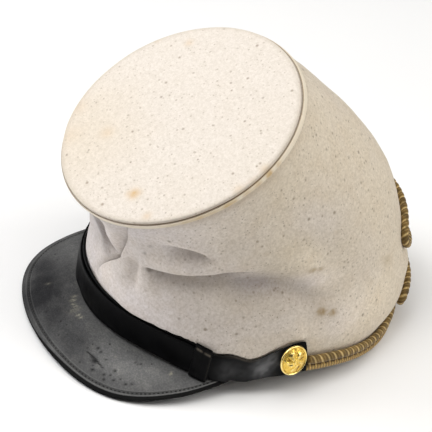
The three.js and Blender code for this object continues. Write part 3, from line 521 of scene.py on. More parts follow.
def build_top():
    nth, h = 400, TOP_THICK / 2
    r_out = TOP_LENGTH / 2
    rings = [(r, h) for r in np.linspace(0.02, 1, 44)[:-1] ** 0.9 * (r_out - h)]
    rings += [(r_out - h, h), (r_out - 1.1, h)]
    rings += [(r_out - 0.9 + 0.9 * math.cos(a), h - 0.9 + 0.9 * math.sin(a)) for a in np.linspace(math.pi / 2, 0, 7)]
    rings += [(r_out, z) for z in np.linspace(h - 0.9, 0.35 - h, 7)[1:]]
    rings += [(r_out - 0.35 + 0.35 * math.cos(a), 0.35 - h + 0.35 * math.sin(a)) for a in np.linspace(0, -math.pi / 2, 4)[1:]]
    rings += [(r, -h) for r in np.linspace(1, 0.02, 14)[1:] * (r_out - h)]
    rz = np.array(rings)
    th = np.arange(nth) / nth * 2 * math.pi
    R, TH = np.broadcast_arrays(rz[None, :, 0], th[:, None])
    Zl = np.broadcast_to(rz[None, :, 1], R.shape)
    k = R / r_out
    upper = Zl > 0.1
    px, py = k * np.cos(TH) * 0.5 + 0.5, k * np.sin(TH) * 0.5 + 0.5
    bump = 0.5 * (1 - k ** 2) + 0.32 * value_noise(px, py, 5, 5, 41, False) + 0.14 * value_noise(px, py, 13, 13, 42, False)
    bump = bump * smooth((1 - k) / 0.06) - 0.25 * np.exp(-((r_out - R - 2.6) / 0.9) ** 2)
    wobble = 0.22 * value_noise(TH / (2 * math.pi), 0 * TH, 23, 1, 43) * smooth((k - 0.9) / 0.08)
    lz = Zl + np.where(upper, bump, 0)
    x = (R + wobble) * np.sin(TH) * TOP_WIDTH / TOP_LENGTH
    f = (R + wobble) * np.cos(TH)
    points = TOP_CENTRE + x[..., None] * X + f[..., None] * TOP_F + lz[..., None] * TOP_N
    faces = grid_faces(nth, len(rz), True, False)
    # small fans at the two centres
    n = len(rz)
    centre_up, centre_dn = points[:, 0].mean(0), points[:, -1].mean(0)
    pts = np.concatenate([points.reshape(-1, 3), [centre_up, centre_dn]])
    i = np.arange(nth)
    j = (i + 1) % nth
    up = np.stack([np.full(nth, nth * n), j * n, i * n, i * n], -1)
    dn = np.stack([np.full(nth, nth * n + 1), i * n + n - 1, j * n + n - 1, j * n + n - 1], -1)
    faces = np.concatenate([faces, up, dn])
    stain = np.zeros(R.shape)
    for sx, sf, r, amount in [(29.2, 44.1, 3.2, 0.95), (30.6, 41.6, 2.2, 0.5), (27.0, 46.2, 2.4, 0.45), (48.7, 45.2, 2.6, 0.4), (-23.2, 36.9, 4.2, 0.3), (-50.3, -31.8, 2.6, 0.35),
                              (-54.8, 42.0, 6.0, 0.18), (-38.0, 55.0, 7.0, 0.16), (-67.0, -18.0, 2.0, 0.3),
                              (66.6, -22.3, 3.2, 0.5), (69.0, -4.0, 3.4, 0.35), (69.5, -13.0, 3.0, 0.3)]:
        d = np.hypot(x - sx, f - sf)
        stain = np.maximum(stain, amount * np.exp(-(d / r) ** 2))
    # painted shade: a darker grey band round the rolled edge
    edge = smooth((R - (r_out - 3.2)) / 2.6)
    side_stain = smooth((np.degrees(TH) - 48) / 40) * smooth((122 - np.degrees(TH)) / 16)
    lower = smooth((-0.1 - Zl / h) / 0.9) * smooth((k - 0.9) / 0.08)
    floats = {"stain": np.append(stain, [0, 0]), "edge": np.append(edge, [0, 0]), "tan": np.append(edge * lower * (0.2 + 0.8 * side_stain), [0, 0]),
              "seam": np.append(smooth((-0.46 - Zl / h) / 0.12) * smooth((k - 0.95) / 0.04) * (0.3 + 0.6 * smooth((np.degrees(TH) - 8) / 40) - 0.4 * smooth((np.degrees(TH) - 95) / 30)), [0, 0]),
              "age": np.append(smooth((f + 10) / 70) * smooth((30 - x) / 70), [0, 0])}
    return make("crown_top_felt", pts, faces, floats)


# ------------------------------------------------------------------ the peak, with its stitched rim
def peak_edge(u):
    return lookup(PEAK_EDGE, u)[0]


def peak_surface(u, w):
    t = u * PEAK_HALF_ANGLE * RAD
    d = np.maximum(w, 0)
    p = vec((B + 2) * np.sin(t), -(A + 2) * np.cos(t), 0 * t) + w[..., None] * base_out(t)
    p[..., 2] = -3.0 - (0.203 + np.where(u < 0, -0.085, 0.03) * u * u) * d - 0.313 * d * d / 40
    return p


def peak_normal(u, w):
    slope = -((0.203 + np.where(u < 0, -0.085, 0.03) * u * u) + 2 * 0.313 * np.maximum(w, 0) / 40) * (w > 0)
    o = base_out(u * PEAK_HALF_ANGLE * RAD)
    return unit(vec(o[..., 0] * -slope, o[..., 1] * -slope, 1.0 + 0 * slope))


CHANNEL, CHANNEL_HALF = 3.7, 0.7


def build_peak():
    nu, nk = 400, 78
    x = np.linspace(-1, 1, nu)
    u = np.sin(x * math.pi / 2) * 0.35 + x * 0.65
    u = u * PEAK_EDGE[-1, 0] * 0.9995
    edge = peak_edge(u)
    k = spread(nk, lambda q: 1 + 3.2 * np.exp(-((1 - q) / 0.16) ** 2), 0, 1)
    U, K = np.meshgrid(u, k, indexing="ij")
    E = edge[:, None]
    Wt = -1.6 + (E + 1.6) * K
    n = peak_normal(U, Wt)
    e = E - Wt
    live = smooth((E - 2.0) / 6.0)
    rim = 0.13 * np.exp(-((e - CHANNEL - CHANNEL_HALF - 0.35) / 0.34) ** 2) + 0.13 * np.exp(-((e - CHANNEL + CHANNEL_HALF + 0.35) / 0.34) ** 2)
    rim = rim - 0.34 * smooth((CHANNEL_HALF + 0.25 - np.abs(e - CHANNEL)) / 0.4)
    rim = rim + 0.1 * np.exp(-((e - 0.7) / 0.5) ** 2)
    swell = 0.5 * value_noise((U + 1) / 2, K, 7, 3, 51, False) + 0.16 * value_noise((U + 1) / 2, K, 22, 8, 52, False)
    swell = swell * smooth(Wt / 8) * smooth((e - 6) / 6)
    # marks worn into the leather: a long gouge and a few pits near the front edge, on the wearer's left
    scar = np.zeros(U.shape)
    t_mm = U * PEAK_HALF_ANGLE * RAD * 106
    cut = [np.array([pu * PEAK_HALF_ANGLE * RAD * 106, pw]) for pu, pw in ((0.255, 19.8), (0.301, 19.9), (0.335, 20.6), (0.378, 21.7))]
    for a, b in zip(cut[:-1], cut[1:]):
        along = np.clip(((t_mm - a[0]) * (b - a)[0] + (Wt - a[1]) * (b - a)[1]) / ((b - a) @ (b - a)), 0, 1)
        away = np.hypot(t_mm - a[0] - along * (b - a)[0], Wt - a[1] - along * (b - a)[1])
        scar = np.maximum(scar, np.exp(-(away / (0.42 + 0.5 * np.exp(-((t_mm - cut[1][0] - 1.5) / 2.6) ** 2) + 0.25 * value_noise((U + 1) / 2, K, 150, 40, 57, False))) ** 2))
    scar = np.maximum(scar, np.exp(-((t_mm - 0.32 * PEAK_HALF_ANGLE * RAD * 106) / 2.2) ** 2 - ((Wt - 21.2) / 1.3) ** 2))
    pits = np.zeros(U.shape)
    for pu, pw, r in [(0.283, 14.3, 0.9), (0.31, 15.2, 0.8), (0.437, 19.7, 0.9), (0.343, 25.6, 0.9), (0.419, 26.7, 0.8), (0.352, 25.4, 0.5), (0.405, 24.4, 0.75), (0.432, 23.0, 0.6), (0.46, 24.4, 0.7), (0.485, 22.2, 0.5), (0.52, 23.3, 0.8), (0.545, 21.8, 0.5), (0.33, 23.8, 0.45),
                      (0.50, 9.5, 0.5), (0.53, 8.8, 0.55), (0.515, 10.0, 0.4), (0.24, 18.0, 0.5), (0.27, 26.5, 0.5), (-0.1, 24, 0.5), (0.1, 21, 0.45), (-0.5, 17, 0.45), (0.36, 17.2, 0.5)]:
        d = np.hypot(t_mm - pu * PEAK_HALF_ANGLE * RAD * 106, Wt - pw)
        pits = np.maximum(pits, np.exp(-(d / r) ** 2))
    scuff = np.zeros(U.shape)
    for pu, pw, r, s_ in [(-0.112, 8.4, 1.1, 0.9), (-0.08, 9.0, 0.9, 0.8), (-0.055, 8.4, 1.0, 0.7), (0.02, 9.7, 0.9, 1.0), (0.045, 9.3, 0.8, 0.9), (-0.14, 7.0, 1.2, 0.5), (-0.027, 9.7, 2.4, 0.35),
                          (0.701, 7.5, 0.9, 1.0), (0.39, 13.0, 0.6, 0.4), (-0.3, 20, 1.0, 0.3)]:
        d = np.hypot(t_mm - pu * PEAK_HALF_ANGLE * RAD * 106, (Wt - pw) * 0.7)
        scuff = np.maximum(scuff, s_ * np.exp(-(d / r) ** 2))
    top = peak_surface(U, Wt) + (live * rim + swell - 0.7 * scar - 0.4 * pits)[..., None] * n
    # rounded outer edge, then the underside back to the inner edge
    last_n = n[:, -1]
    out = base_out(u * PEAK_HALF_ANGLE * RAD)
    tang = unit(out - (out * last_n).sum(-1, keepdims=True) * last_n)
    r = LEATHER_PEAK / 2
    hub = peak_surface(u, edge) - r * last_n - 0.75 * tang
    arcs = [hub + r * (math.cos(a) * last_n) + 0.75 * r * math.sin(a) * tang for a in np.linspace(0, math.pi, 11)]
    top[:, -1] = arcs[0]
    kb = np.linspace(1, 0, 22)
    Ub, Kb = np.meshgrid(u, kb, indexing="ij")
    Wb = -1.6 + (E - 0.75 + 1.6) * Kb
    under = peak_surface(Ub, Wb) - LEATHER_PEAK * peak_normal(Ub, Wb)
    points = np.concatenate([top, np.stack(arcs[1:-1], 1), under], 1)
    nv = points.shape[1]
    faces = grid_faces(nu, nv, False, True)
    half = []
    for base, rev in ((0, False), ((nu - 1) * nv, True)):
        ring = list(range(nv))
        i, j = 0, nv - 1
        while j - i > 2:
            half.append([base + ring[i], base + ring[i + 1], base + ring[j - 1], base + ring[j]])
            i, j = i + 1, j - 1
        if j - i == 2:
            half.append([base + ring[i], base + ring[i + 1], base + ring[j], base + ring[j]])
    half = np.array(half)
    m = len(half) // 2
    half[m:] = half[m:, ::-1]
    faces = np.concatenate([faces, half])

    def whole(v, fill=0.0):
        return np.concatenate([v, np.full((nu, nv - nk), fill)], 1)

    groove = live * smooth((CHANNEL_HALF + 0.2 - np.abs(e - CHANNEL)) / 0.3)
    sheen_and_wear = np.zeros(U.shape)  # painted sheen mixed with rubbed grey where it is handled, darkest toward the front
    for pu, pw, wu, ww, amount in [(0.43, 15.0, 0.16, 9.0, 0.95), (0.62, 12.0, 0.16, 8.0, 0.5), (-0.56, 9.0, 0.16, 8.0, 0.45), (-0.1, 16.0, 0.3, 9.0, -0.42), (0.17, 20, 0.09, 7, -0.4), (-0.25, 26, 0.25, 9, -0.65)]:
        sheen_and_wear = sheen_and_wear + amount * np.exp(-((U - pu) / wu) ** 2 - ((Wt - pw) / ww) ** 2)
    # painted highlight: light lines on the ridges either side of the stitch channel, and a fainter one nearer the edge
    light = live * (0.4 + 0.6 * smooth((U + 0.05) / 0.35)) * (np.exp(-((e - CHANNEL - CHANNEL_HALF - 0.35) / 0.3) ** 2) + np.exp(-((e - CHANNEL + CHANNEL_HALF + 0.35) / 0.3) ** 2) + 0.5 * np.exp(-((e - 2.2) / 0.25) ** 2))
    floats = {"groove": whole(np.clip(groove, 0, 1)), "light": whole(np.clip(light, 0, 1)), "mark": whole(np.clip(scar + pits, 0, 1)), "scuff": whole(scuff),
              "rim": whole(smooth((0.8 + 1.5 * smooth((U + 0.1) / 0.4) - e) / 0.5), 1.0), "sheen_and_wear": whole(np.clip(sheen_and_wear, -1, 1)), "dust": whole(np.exp(-(Wt / 9.0) ** 2) * smooth((0.9 - np.abs(U)) / 0.3))}
    return make("peak_leather", points, faces, floats)


def capsule_row(name, centres, axes, normals, length, width, height, floats=None):
    """Many short rounded threads as one mesh."""
    na, nl = 8, 7
    ang = np.arange(na) / na * 2 * math.pi
    stations = np.linspace(-1, 1, nl)
    swell = np.sqrt(np.maximum(0.0, 1 - np.abs(stations) ** 3.2))
    swell[0] = swell[-1] = 0.12
    pts, faces = [], []
    side = unit(np.cross(axes, normals))
    for i in range(len(centres)):
        base = i * (na * nl + 2)
        for st, sw in zip(stations, swell):
            for a in ang:
                pts.append(centres[i] + axes[i] * st * length[i] / 2 + side[i] * math.cos(a) * sw * width / 2 + normals[i] * (math.sin(a) * sw * height / 2 - 0.25 * st * st * height))
        pts.append(centres[i] - axes[i] * length[i] / 2 * 1.03 - normals[i] * 0.25 * height)
        pts.append(centres[i] + axes[i] * length[i] / 2 * 1.03 - normals[i] * 0.25 * height)
        g = grid_faces(nl, na, False, True) + base
        faces.append(g)
        j = np.arange(na)
        k = (j + 1) % na
        faces.append(np.stack([np.full(na, base + na * nl), base + k, base + j, base + j], -1)[:, ::-1])
        e = base + (nl - 1) * na
        faces.append(np.stack([np.full(na, base + na * nl + 1), e + j, e + k, e + k], -1)[:, ::-1])
    return make(name, np.array(pts), np.concatenate(faces), floats)


def build_stitches():
    u = np.linspace(-0.97, 0.97, 4000)
    w = peak_edge(u) - CHANNEL
    line = peak_surface(u, w)
    run = np.concatenate([[0], np.cumsum(np.linalg.norm(np.diff(line, axis=0), axis=1))])
    pitch = 2.5
    count = int(run[-1] / pitch)
    rng = np.random.default_rng(61)
    mid = (np.arange(count) + 0.5) * run[-1] / count + rng.normal(0, 0.08, count)
    uu = np.interp(mid, run, u)
    keep = peak_edge(uu) > CHANNEL + 2.2
    uu = uu[keep]
    ww = peak_edge(uu) - CHANNEL
    n = peak_normal(uu, ww)
    ahead = peak_surface(uu + 1e-3, peak_edge(uu + 1e-3) - CHANNEL) - peak_surface(uu - 1e-3, peak_edge(uu - 1e-3) - CHANNEL)
    axis = unit(ahead)
    n = unit(n - (n * axis).sum(-1, keepdims=True) * axis)
    skew = rng.normal(0, 0.05, len(uu))
    axis = unit(axis + skew[:, None] * np.cross(n, axis))
    centres = peak_surface(uu, ww) - 0.2 * n
    return capsule_row("peak_stitches", centres, axis, n, 1.45 + rng.normal(0, 0.1, len(uu)), 0.8, 0.62)


# ------------------------------------------------------------------ straps and keepers
def strap_section(width, thick, nf=17, ne=6):
    """Ring of (mm from the top edge, mm from the inner face): outer face down, lower edge, inner face up, upper edge."""
    r = min(0.75, thick / 2 - 0.02)
    core = thick - 2 * r
    a = np.linspace(r, 1, nf)
    ring = []
    face = np.linspace(0, 1, nf)
    for q in face:
        ring.append((("w", q), thick))
    for ang in np.linspace(0, math.pi / 2, ne)[1:]:
        ring.append((("b", r * math.sin(ang)), thick - r + r * math.cos(ang)))
    for ang in np.linspace(0, math.pi / 2, ne):
        ring.append((("b", r * math.cos(ang)), r - core * 0 - r * math.sin(ang)))
    for q in face[::-1][1:]:
        ring.append((("w", q), 0.0))
    for ang in np.linspace(0, math.pi / 2, ne)[1:]:
        ring.append((("t", r * math.sin(ang)), r - r * math.cos(ang)))
    for ang in np.linspace(0, math.pi / 2, ne)[:-1]:
        ring.append((("t", r * math.cos(ang)), thick - r + r * math.sin(ang)))
    return ring, r


def build_strap(name, table, seed):
    lo, hi = table[0, 0], table[-1, 0]
    n = int((hi - lo) / 0.42)
    deg = np.linspace(lo, hi, n)
    top, bottom, off_top, off_bottom = lookup(table, deg)
    width = np.hypot(top - bottom, off_bottom - off_top)
    ring, r = strap_section(18.0, LEATHER_STRAP)
    m = len(ring)
    share = np.zeros((n, m))
    high = np.zeros((n, m))
    edge_top = np.zeros((n, m))
    edge = np.zeros((n, m))
    for j, ((kind, q), h) in enumerate(ring):
        if kind == "w":
            mm = r + (width - 2 * r) * q
        elif kind == "b":
            mm = width - r + q
        else:
            mm = r - q
        share[:, j] = mm / width
        high[:, j] = h
        edge_top[:, j] = np.clip(1 - mm / 1.5, 0, 1)
        edge[:, j] = np.clip(1 - np.minimum(mm, width - mm) / 1.1, 0, 1)
    D = np.broadcast_to(deg[:, None], share.shape)
    u = (D - lo) / (hi - lo)
    outer = (high > LEATHER_STRAP / 2)
    pillow = np.where(outer, 0.16 * (1 - (2 * np.clip(share, 0, 1) - 1) ** 6), 0)
    ripple = 0.14 * value_noise(u, np.clip(share, 0, 1), int((hi - lo) / 6), 2, seed, False) + 0.05 * value_noise(u, np.clip(share, 0, 1), int((hi - lo) / 1.5), 6, seed + 1, False)
    z = top[:, None] + (bottom - top)[:, None] * share
    off = off_top[:, None] + (off_bottom - off_top)[:, None] * share + high + pillow + np.where(outer, ripple, 0) - 0.16
    points = near_felt(D * RAD, z, off)
    faces = grid_faces(n, m, False, True)
    caps = []
    for base, rev in ((0, False), ((n - 1) * m, True)):
        i, j = 0, m - 1
        while j - i > 2:
            f = [base + i, base + i + 1, base + j - 1, base + j]
            caps.append(f[::-1] if rev else f)
            i, j = i + 1, j - 1
        if j - i == 2:
            f = [base + i, base + i + 1, base + j, base + j]
            caps.append(f[::-1] if rev else f)
    faces = np.concatenate([faces, np.array(caps)])
    # painted sheen in grey where the single strap bulges, and a bare upper edge beside it
    bare = edge_top * np.exp(-((np.abs(D) - 67) / 5.0) ** 2) * 0.6
    grey_and_sheen = np.zeros(D.shape)
    for at, place_, wd, ws, amount in [(74.6, 0.42, 3.4, 0.46, 1.0), (77.6, 0.35, 1.6, 0.3, 0.35), (61.5, 0.55, 3.0, 0.36, 0.24), (68, 0.55, 6.5, 0.45, 0.15)]:
        grey_and_sheen = grey_and_sheen + amount * np.exp(-((np.abs(D) - at) / wd) ** 2 - ((share - place_) / ws) ** 2)
    grey_and_sheen = np.clip(grey_and_sheen * outer * (0.8 + 0.3 * value_noise(u, np.clip(share, 0, 1), int((hi - lo) / 1.2), 8, seed + 2, False)), 0, 1)
    floats = {"raw_edge_and_highlight": bare, "edge": edge, "painted_sheen": grey_and_sheen}
    return make(name, points, faces, floats)


def build_keeper(name, span):
    lo, hi = span
    nb = 22
    t_mm = (hi - lo) * 1.62  # width along the strap
    # section across the loop's width: outer face, edge, inner face, edge
    k = LEATHER_KEEPER / 2
    sect = []
    for q in np.linspace(-1, 1, 15):
        sect.append((q * (t_mm / 2 - 0.45), k))
    for a in np.linspace(math.pi / 2, -math.pi / 2, 7)[1:]:
        sect.append((t_mm / 2 - 0.45 + 0.45 * math.cos(a), k * math.sin(a)))
    for q in np.linspace(1, -1, 9)[1:]:
        sect.append((q * (t_mm / 2 - 0.45), -k))
    for a in np.linspace(-math.pi / 2, math.pi / 2, 7)[1:-1]:
        sect.append((-t_mm / 2 + 0.45 - 0.45 * math.cos(a), k * math.sin(a)))
    sect = np.array(sect)
    deg = (lo + hi) / 2 + sect[:, 0] / 1.62
    top_a, bot_a, ot_a, ob_a = lookup(STRAP_LEFT, deg)
    top_b, bot_b, ot_b, ob_b = lookup(STRAP_RIGHT, deg)
    top = np.maximum(top_a, top_b) + GAP + 0.1 + k
    low = GAP + 0.2 + 0.6 * k
    corners = np.stack([
        np.stack([top, ot_a - GAP - k], -1), np.stack([top, ot_b + LEATHER_STRAP + GAP + k], -1),
        np.stack([bot_b - low - 0.35, ob_b + LEATHER_STRAP + GAP + k], -1), np.stack([bot_a - low, ob_a - GAP - k], -1)], 1)  # (m, 4, 2)
    # round the corners of the loop
    loop = corners
    steps = 26
    dense = []
    for i in range(4):
        a, b = loop[:, i], loop[:, (i + 1) % 4]
        for q in np.arange(steps) / steps:
            dense.append(a + (b - a) * q)
    dense = np.stack(dense, 1)
    kernel = 4
    soft = sum(np.roll(dense, s_, axis=1) for s_ in range(-kernel, kernel + 1)) / (2 * kernel + 1)
    along = np.roll(soft, -1, axis=1) - np.roll(soft, 1, axis=1)
    along = unit(along)
    centre = soft.mean(1, keepdims=True)
    nrm = np.stack([-along[..., 1], along[..., 0]], -1)
    nrm = nrm * np.sign(((soft - centre) * nrm).sum(-1, keepdims=True))
    groove = np.where(sect[:, 1] > 0, 0.3 * np.exp(-(sect[:, 0] / 0.45) ** 2), 0)
    h = sect[:, 1] - groove
    ring = soft + nrm * h[:, None, None]
    m, p = ring.shape[:2]
    D = np.broadcast_to(deg[:, None], (m, p))
    points = near_felt(D * RAD, ring[..., 0], ring[..., 1])
    faces = grid_faces(m, p, True, True)
    edge = np.clip(1 - (t_mm / 2 - np.abs(sect[:, 0])) / 0.7, 0, 1)
    # painted highlight along the upper front bend, on both sides of the groove, and raw edge colour down one edge
    bend_highlight = np.exp(-((np.arange(p) - steps) / 1.3) ** 2)[None] * ((sect[:, 1] > 0.3) * (1 - np.exp(-(sect[:, 0] / 0.8) ** 2)) * (np.abs(sect[:, 0]) < t_mm / 2 - 0.7))[:, None]
    down = np.exp(-((sect[:, 0] - t_mm / 2 + 0.5) / 0.22) ** 2)[:, None] * ((np.arange(p) > steps) & (np.arange(p) < 2 * steps))[None] * 0.16
    floats = {"raw_edge_and_highlight": np.clip(np.maximum(bend_highlight * 1.2, down), 0, 1), "edge": np.broadcast_to(edge[:, None], (m, p)), "painted_sheen": np.zeros((m, p))}
    return make(name, points, faces, floats)


# ------------------------------------------------------------------ buttons
def button_seat(table, sign):
    deg = np.array(sign * BUTTON_ANGLE)
    top, bottom, off_top, off_bottom = lookup(table, deg)
    t = deg * RAD
    high, low = near_felt(t, top, off_top + LEATHER_STRAP), near_felt(t, bottom, off_bottom + LEATHER_STRAP)
    rise = unit(high - low)
    out = base_out(t)
    face = unit(out - (out @ rise) * rise)
    n = unit(face + 0.15 * rise + 0.2 * sign * unit(np.cross(Z, face)))
    return low + 0.62 * (high - low) + 2.8 * face, n, unit(rise - (rise @ n) * n)


def build_button(name, table, sign, seed):
    centre, n, rise = button_seat(table, sign)
    side = np.cross(rise, n)
    R = BUTTON_RADIUS
    # dome, gutter, raised rim, rolled edge, flat back and shank: radius, height
    prof = np.array([(0.05, 3.72), (1.8, 3.66), (3.8, 3.28), (5.6, 2.65), (6.9, 2.0), (7.75, 1.55), (8.1, 1.42), (8.32, 1.5), (8.55, 1.72), (8.82, 1.78), (9.06, 1.6),
                     (9.27, 1.22), (9.3, 0.85), (9.1, 0.38), (8.6, 0.08), (7.6, 0.0), (4.0, 0.0), (1.6, -0.02), (1.5, -0.3), (1.5, -4.2), (0.05, -4.25)])
    seg = np.concatenate([[0], np.cumsum(np.linalg.norm(np.diff(prof, axis=0), axis=1))])
    at = np.concatenate([np.linspace(0, seg[6], 56), np.linspace(seg[6], seg[14], 26)[1:], seg[15:]])
    tab = np.column_stack([seg, prof])
    r, h = lookup(tab, at)
    nth = 168
    th = np.arange(nth) / nth * 2 * math.pi
    TH, Rr = np.meshgrid(th, r, indexing="ij")
    H = np.broadcast_to(h, Rr.shape).copy()
    face = np.broadcast_to((np.arange(len(at)) < 58)[None], Rr.shape)
    x, y = Rr * np.cos(TH), Rr * np.sin(TH)
    # a plain leaf rosette on a pebbled ground
    lobes = 0.5 + 0.5 * np.cos(5 * TH + 0.5 * np.sin(2 * TH) + 0.35 * Rr)
    petals = smooth((lobes - 0.28) / 0.4) * smooth((Rr - 1.8) / 0.7) * smooth((6.7 - Rr) / 0.8)
    vein = np.exp(-(np.sin(2.5 * TH + 0.25 * np.sin(2 * TH) + 0.175 * Rr) / 0.16) ** 2) * smooth((Rr - 2.1) / 1) * smooth((6.0 - Rr) / 1)
    boss = smooth((1.9 - Rr) / 0.6)
    nx, ny = (x / R + 1) / 2, (y / R + 1) / 2
    pebble = value_noise(nx, ny, 26, 26, seed, False) * 0.6 + value_noise(nx, ny, 13, 13, seed + 1, False) * 0.6
    blots = value_noise(nx, ny, 8, 8, seed + 2, False)
    relief = 0.3 * petals + 0.32 * boss - 0.08 * vein + 0.2 * pebble + 0.22 * blots
    mask = smooth((7.7 - Rr) / 0.5) * face
    H = H + relief * mask
    points = centre + x[..., None] * side + y[..., None] * rise + H[..., None] * n
    faces = grid_faces(nth, len(at), True, False)
    m = len(at)
    pts = np.concatenate([points.reshape(-1, 3), [points[:, 0].mean(0), points[:, -1].mean(0)]])
    i = np.arange(nth)
    j = (i + 1) % nth
    up = np.stack([np.full(nth, nth * m), j * m, i * m, i * m], -1)
    dn = np.stack([np.full(nth, nth * m + 1), i * m + m - 1, j * m + m - 1, j * m + m - 1], -1)
    faces = np.concatenate([faces, up, dn])
    height = np.clip(np.where(face & (Rr < 8.0), 0.42 + relief * mask * 1.1, 0.9), 0, 1)
    gutter = np.exp(-((Rr - 8.08) / 0.22) ** 2) * face
    height = np.clip(height - 0.5 * gutter, 0, 1)
    return make(name, pts, faces, {"height": np.append(height, [0.6, 0.3])})


# ------------------------------------------------------------------ cords
def along_path(path, outs, closed):
    """Outward and crosswise directions at each point of a path, its running length and its whole length."""
    dirs = unit(np.roll(path, -1, 0) - np.roll(path, 1, 0) if closed else np.gradient(path, axis=0))
    side = unit(outs - (outs * dirs).sum(-1, keepdims=True) * dirs)
    step = np.linalg.norm(np.diff(path, axis=0, append=path[:1] if closed else path[-1:]), axis=1)
    run = np.concatenate([[0], np.cumsum(step)])[:len(path)]
    return side, np.cross(side, dirs), run, run[-1] + (step[-1] if closed else 0)


CREAM, OLIVE, UMBER, STRAW, PINK = (np.array(c) for c in ((0.74, 0.56, 0.25), (0.155, 0.094, 0.025), (0.035, 0.011, 0.005), (0.58, 0.40, 0.135), (0.48, 0.29, 0.12)))


def build_base_cord():
    """Two cords sewn side by side: a thick upper one and a thinner lower one, with a groove between."""
    def lay(deg):
        t = deg * RAD
        z = lookup(BASE_CORD, np.where(deg > 180, 360 - deg, deg))[0]
        up = unit(near_felt(t, z + 4, 0 * t) - near_felt(t, z - 4, 0 * t))
        out = base_out(t)
        face = unit(out - (out * up).sum(-1, keepdims=True) * up)
        return near_felt(t, z, np.full_like(t, CORD_THICK + 0.3)), face, up

    deg = np.linspace(BASE_CORD[0, 0], 360 - BASE_CORD[0, 0], 1600)
    line = lay(deg)[0]
    run = np.concatenate([[0], np.cumsum(np.linalg.norm(np.diff(line, axis=0), axis=1))])
    deg = np.interp(np.linspace(0, run[-1], int(run[-1] / 0.34)), run, deg)
    path, face, up = lay(deg)
    side, other, run, total = along_path(path, face, False)
    other = other * np.sign((other * up).sum(-1, keepdims=True))
    path = path - 0.1 * other
    n, na = len(path), 60
    phi = np.arange(na) / na * 2 * math.pi
    cosv, sinv = np.cos(phi), np.sin(phi)

    def hit(c, a, b):
        q2, q1, q0 = cosv ** 2 / a ** 2 + sinv ** 2 / b ** 2, c * sinv / b ** 2, c * c / b ** 2 - 1
        return (q1 + np.sqrt(q1 * q1 - q2 * q0)) / q2

    ru, rl = hit(2.6, 2.35, 2.9), hit(-2.5, 2.5, 2.8)
    rad, upper = np.maximum(ru, rl), ru >= rl
    U, P = np.meshgrid(run, phi, indexing="ij")
    Up = np.broadcast_to(upper[None], U.shape)
    rel = np.where(Up, np.arctan2((np.sin(P) * rad - 2.6) / 2.9, np.cos(P) * rad / 2.35), np.arctan2((np.sin(P) * rad + 2.5) / 2.8, np.cos(P) * rad / 2.5))
    pitch = total / round(total / 5.0)
    drift = 0.1 * value_noise(U / total, 0 * U, int(total / 9), 1, 71, False)
    # the upper cord's strands bow along it, the lower one is wrapped in short upright turns
    phase = U / pitch + drift + np.where(Up, 0.14 * np.cos(rel) + 0.36 * rel, 0.2 * rel)
    q = phase - np.floor(phase)
    strand = 0.5 - 0.5 * np.cos(2 * math.pi * q)
    turns = U / (total / round(total / 2.1)) + drift + 0.3 * rel
    wrap = 0.5 + 0.5 * np.cos(2 * math.pi * turns)
    thread = 0.5 + 0.5 * np.cos(2 * math.pi * 4 * phase)
    lump = np.where(Up, 0.34 * (np.sqrt(strand) - 0.64) + 0.05 * (thread - 0.5), 0.26 * (np.sqrt(wrap) - 0.6))
    rr = rad[None] + lump * np.clip((rad[None] - 0.8) / 1.0, 0.2, 1)
    points = path[:, None] + (rr * np.cos(P))[..., None] * side[:, None] + (rr * np.sin(P))[..., None] * other[:, None]
    groove = np.exp(-((rad - rad[(np.cos(phi) > 0.5)].min()) / 1.0) ** 2) * (np.cos(phi) > 0.1)
    near = np.minimum(q, 1 - q)
    arc = np.clip(np.exp(-((near - 0.02) / 0.085) ** 2) + 0.3 * np.exp(-((q - 0.45) / 0.06) ** 2), 0, 1)
    var = 0.5 + 0.5 * value_noise(U / total, P / (2 * math.pi), int(total / 2.0), 9, 76, False)
    up_col = OLIVE * (0.6 + 0.9 * var[..., None]) * (1 - arc[..., None]) + CREAM * (0.75 + 0.35 * var[..., None]) * arc[..., None]
    bars = smooth((wrap - 0.35) / 0.4)
    lo_col = (STRAW * (1 - 0.45 * var[..., None]) + PINK * 0.45 * var[..., None]) * (0.42 + 0.72 * bars[..., None])
    col = np.where(Up[..., None], up_col, lo_col)
    # painted shade: dark dashes in the groove between the two cords
    dash = groove[None] * (0.2 + 0.8 * smooth((0.5 + 0.5 * np.cos(2 * math.pi * (U / pitch + drift + 0.25)) - 0.25) / 0.25))
    col = col * (1 - dash[..., None]) + UMBER * dash[..., None]
    faces = grid_faces(n, na, False, True)
    j = np.arange(na)
    k = (j + 1) % na
    e = (n - 1) * na
    faces = np.concatenate([faces, np.stack([np.full(na, n * na), k, j, j], -1)[:, ::-1], np.stack([np.full(na, n * na + 1), e + j, e + k, e + k], -1)[:, ::-1]])
    pts = np.concatenate([points.reshape(-1, 3), [path[0], path[-1]]])
    return make("base_cord_braid", pts, faces, None, {"braid": np.concatenate([col.reshape(-1, 3), [OLIVE, OLIVE]])})


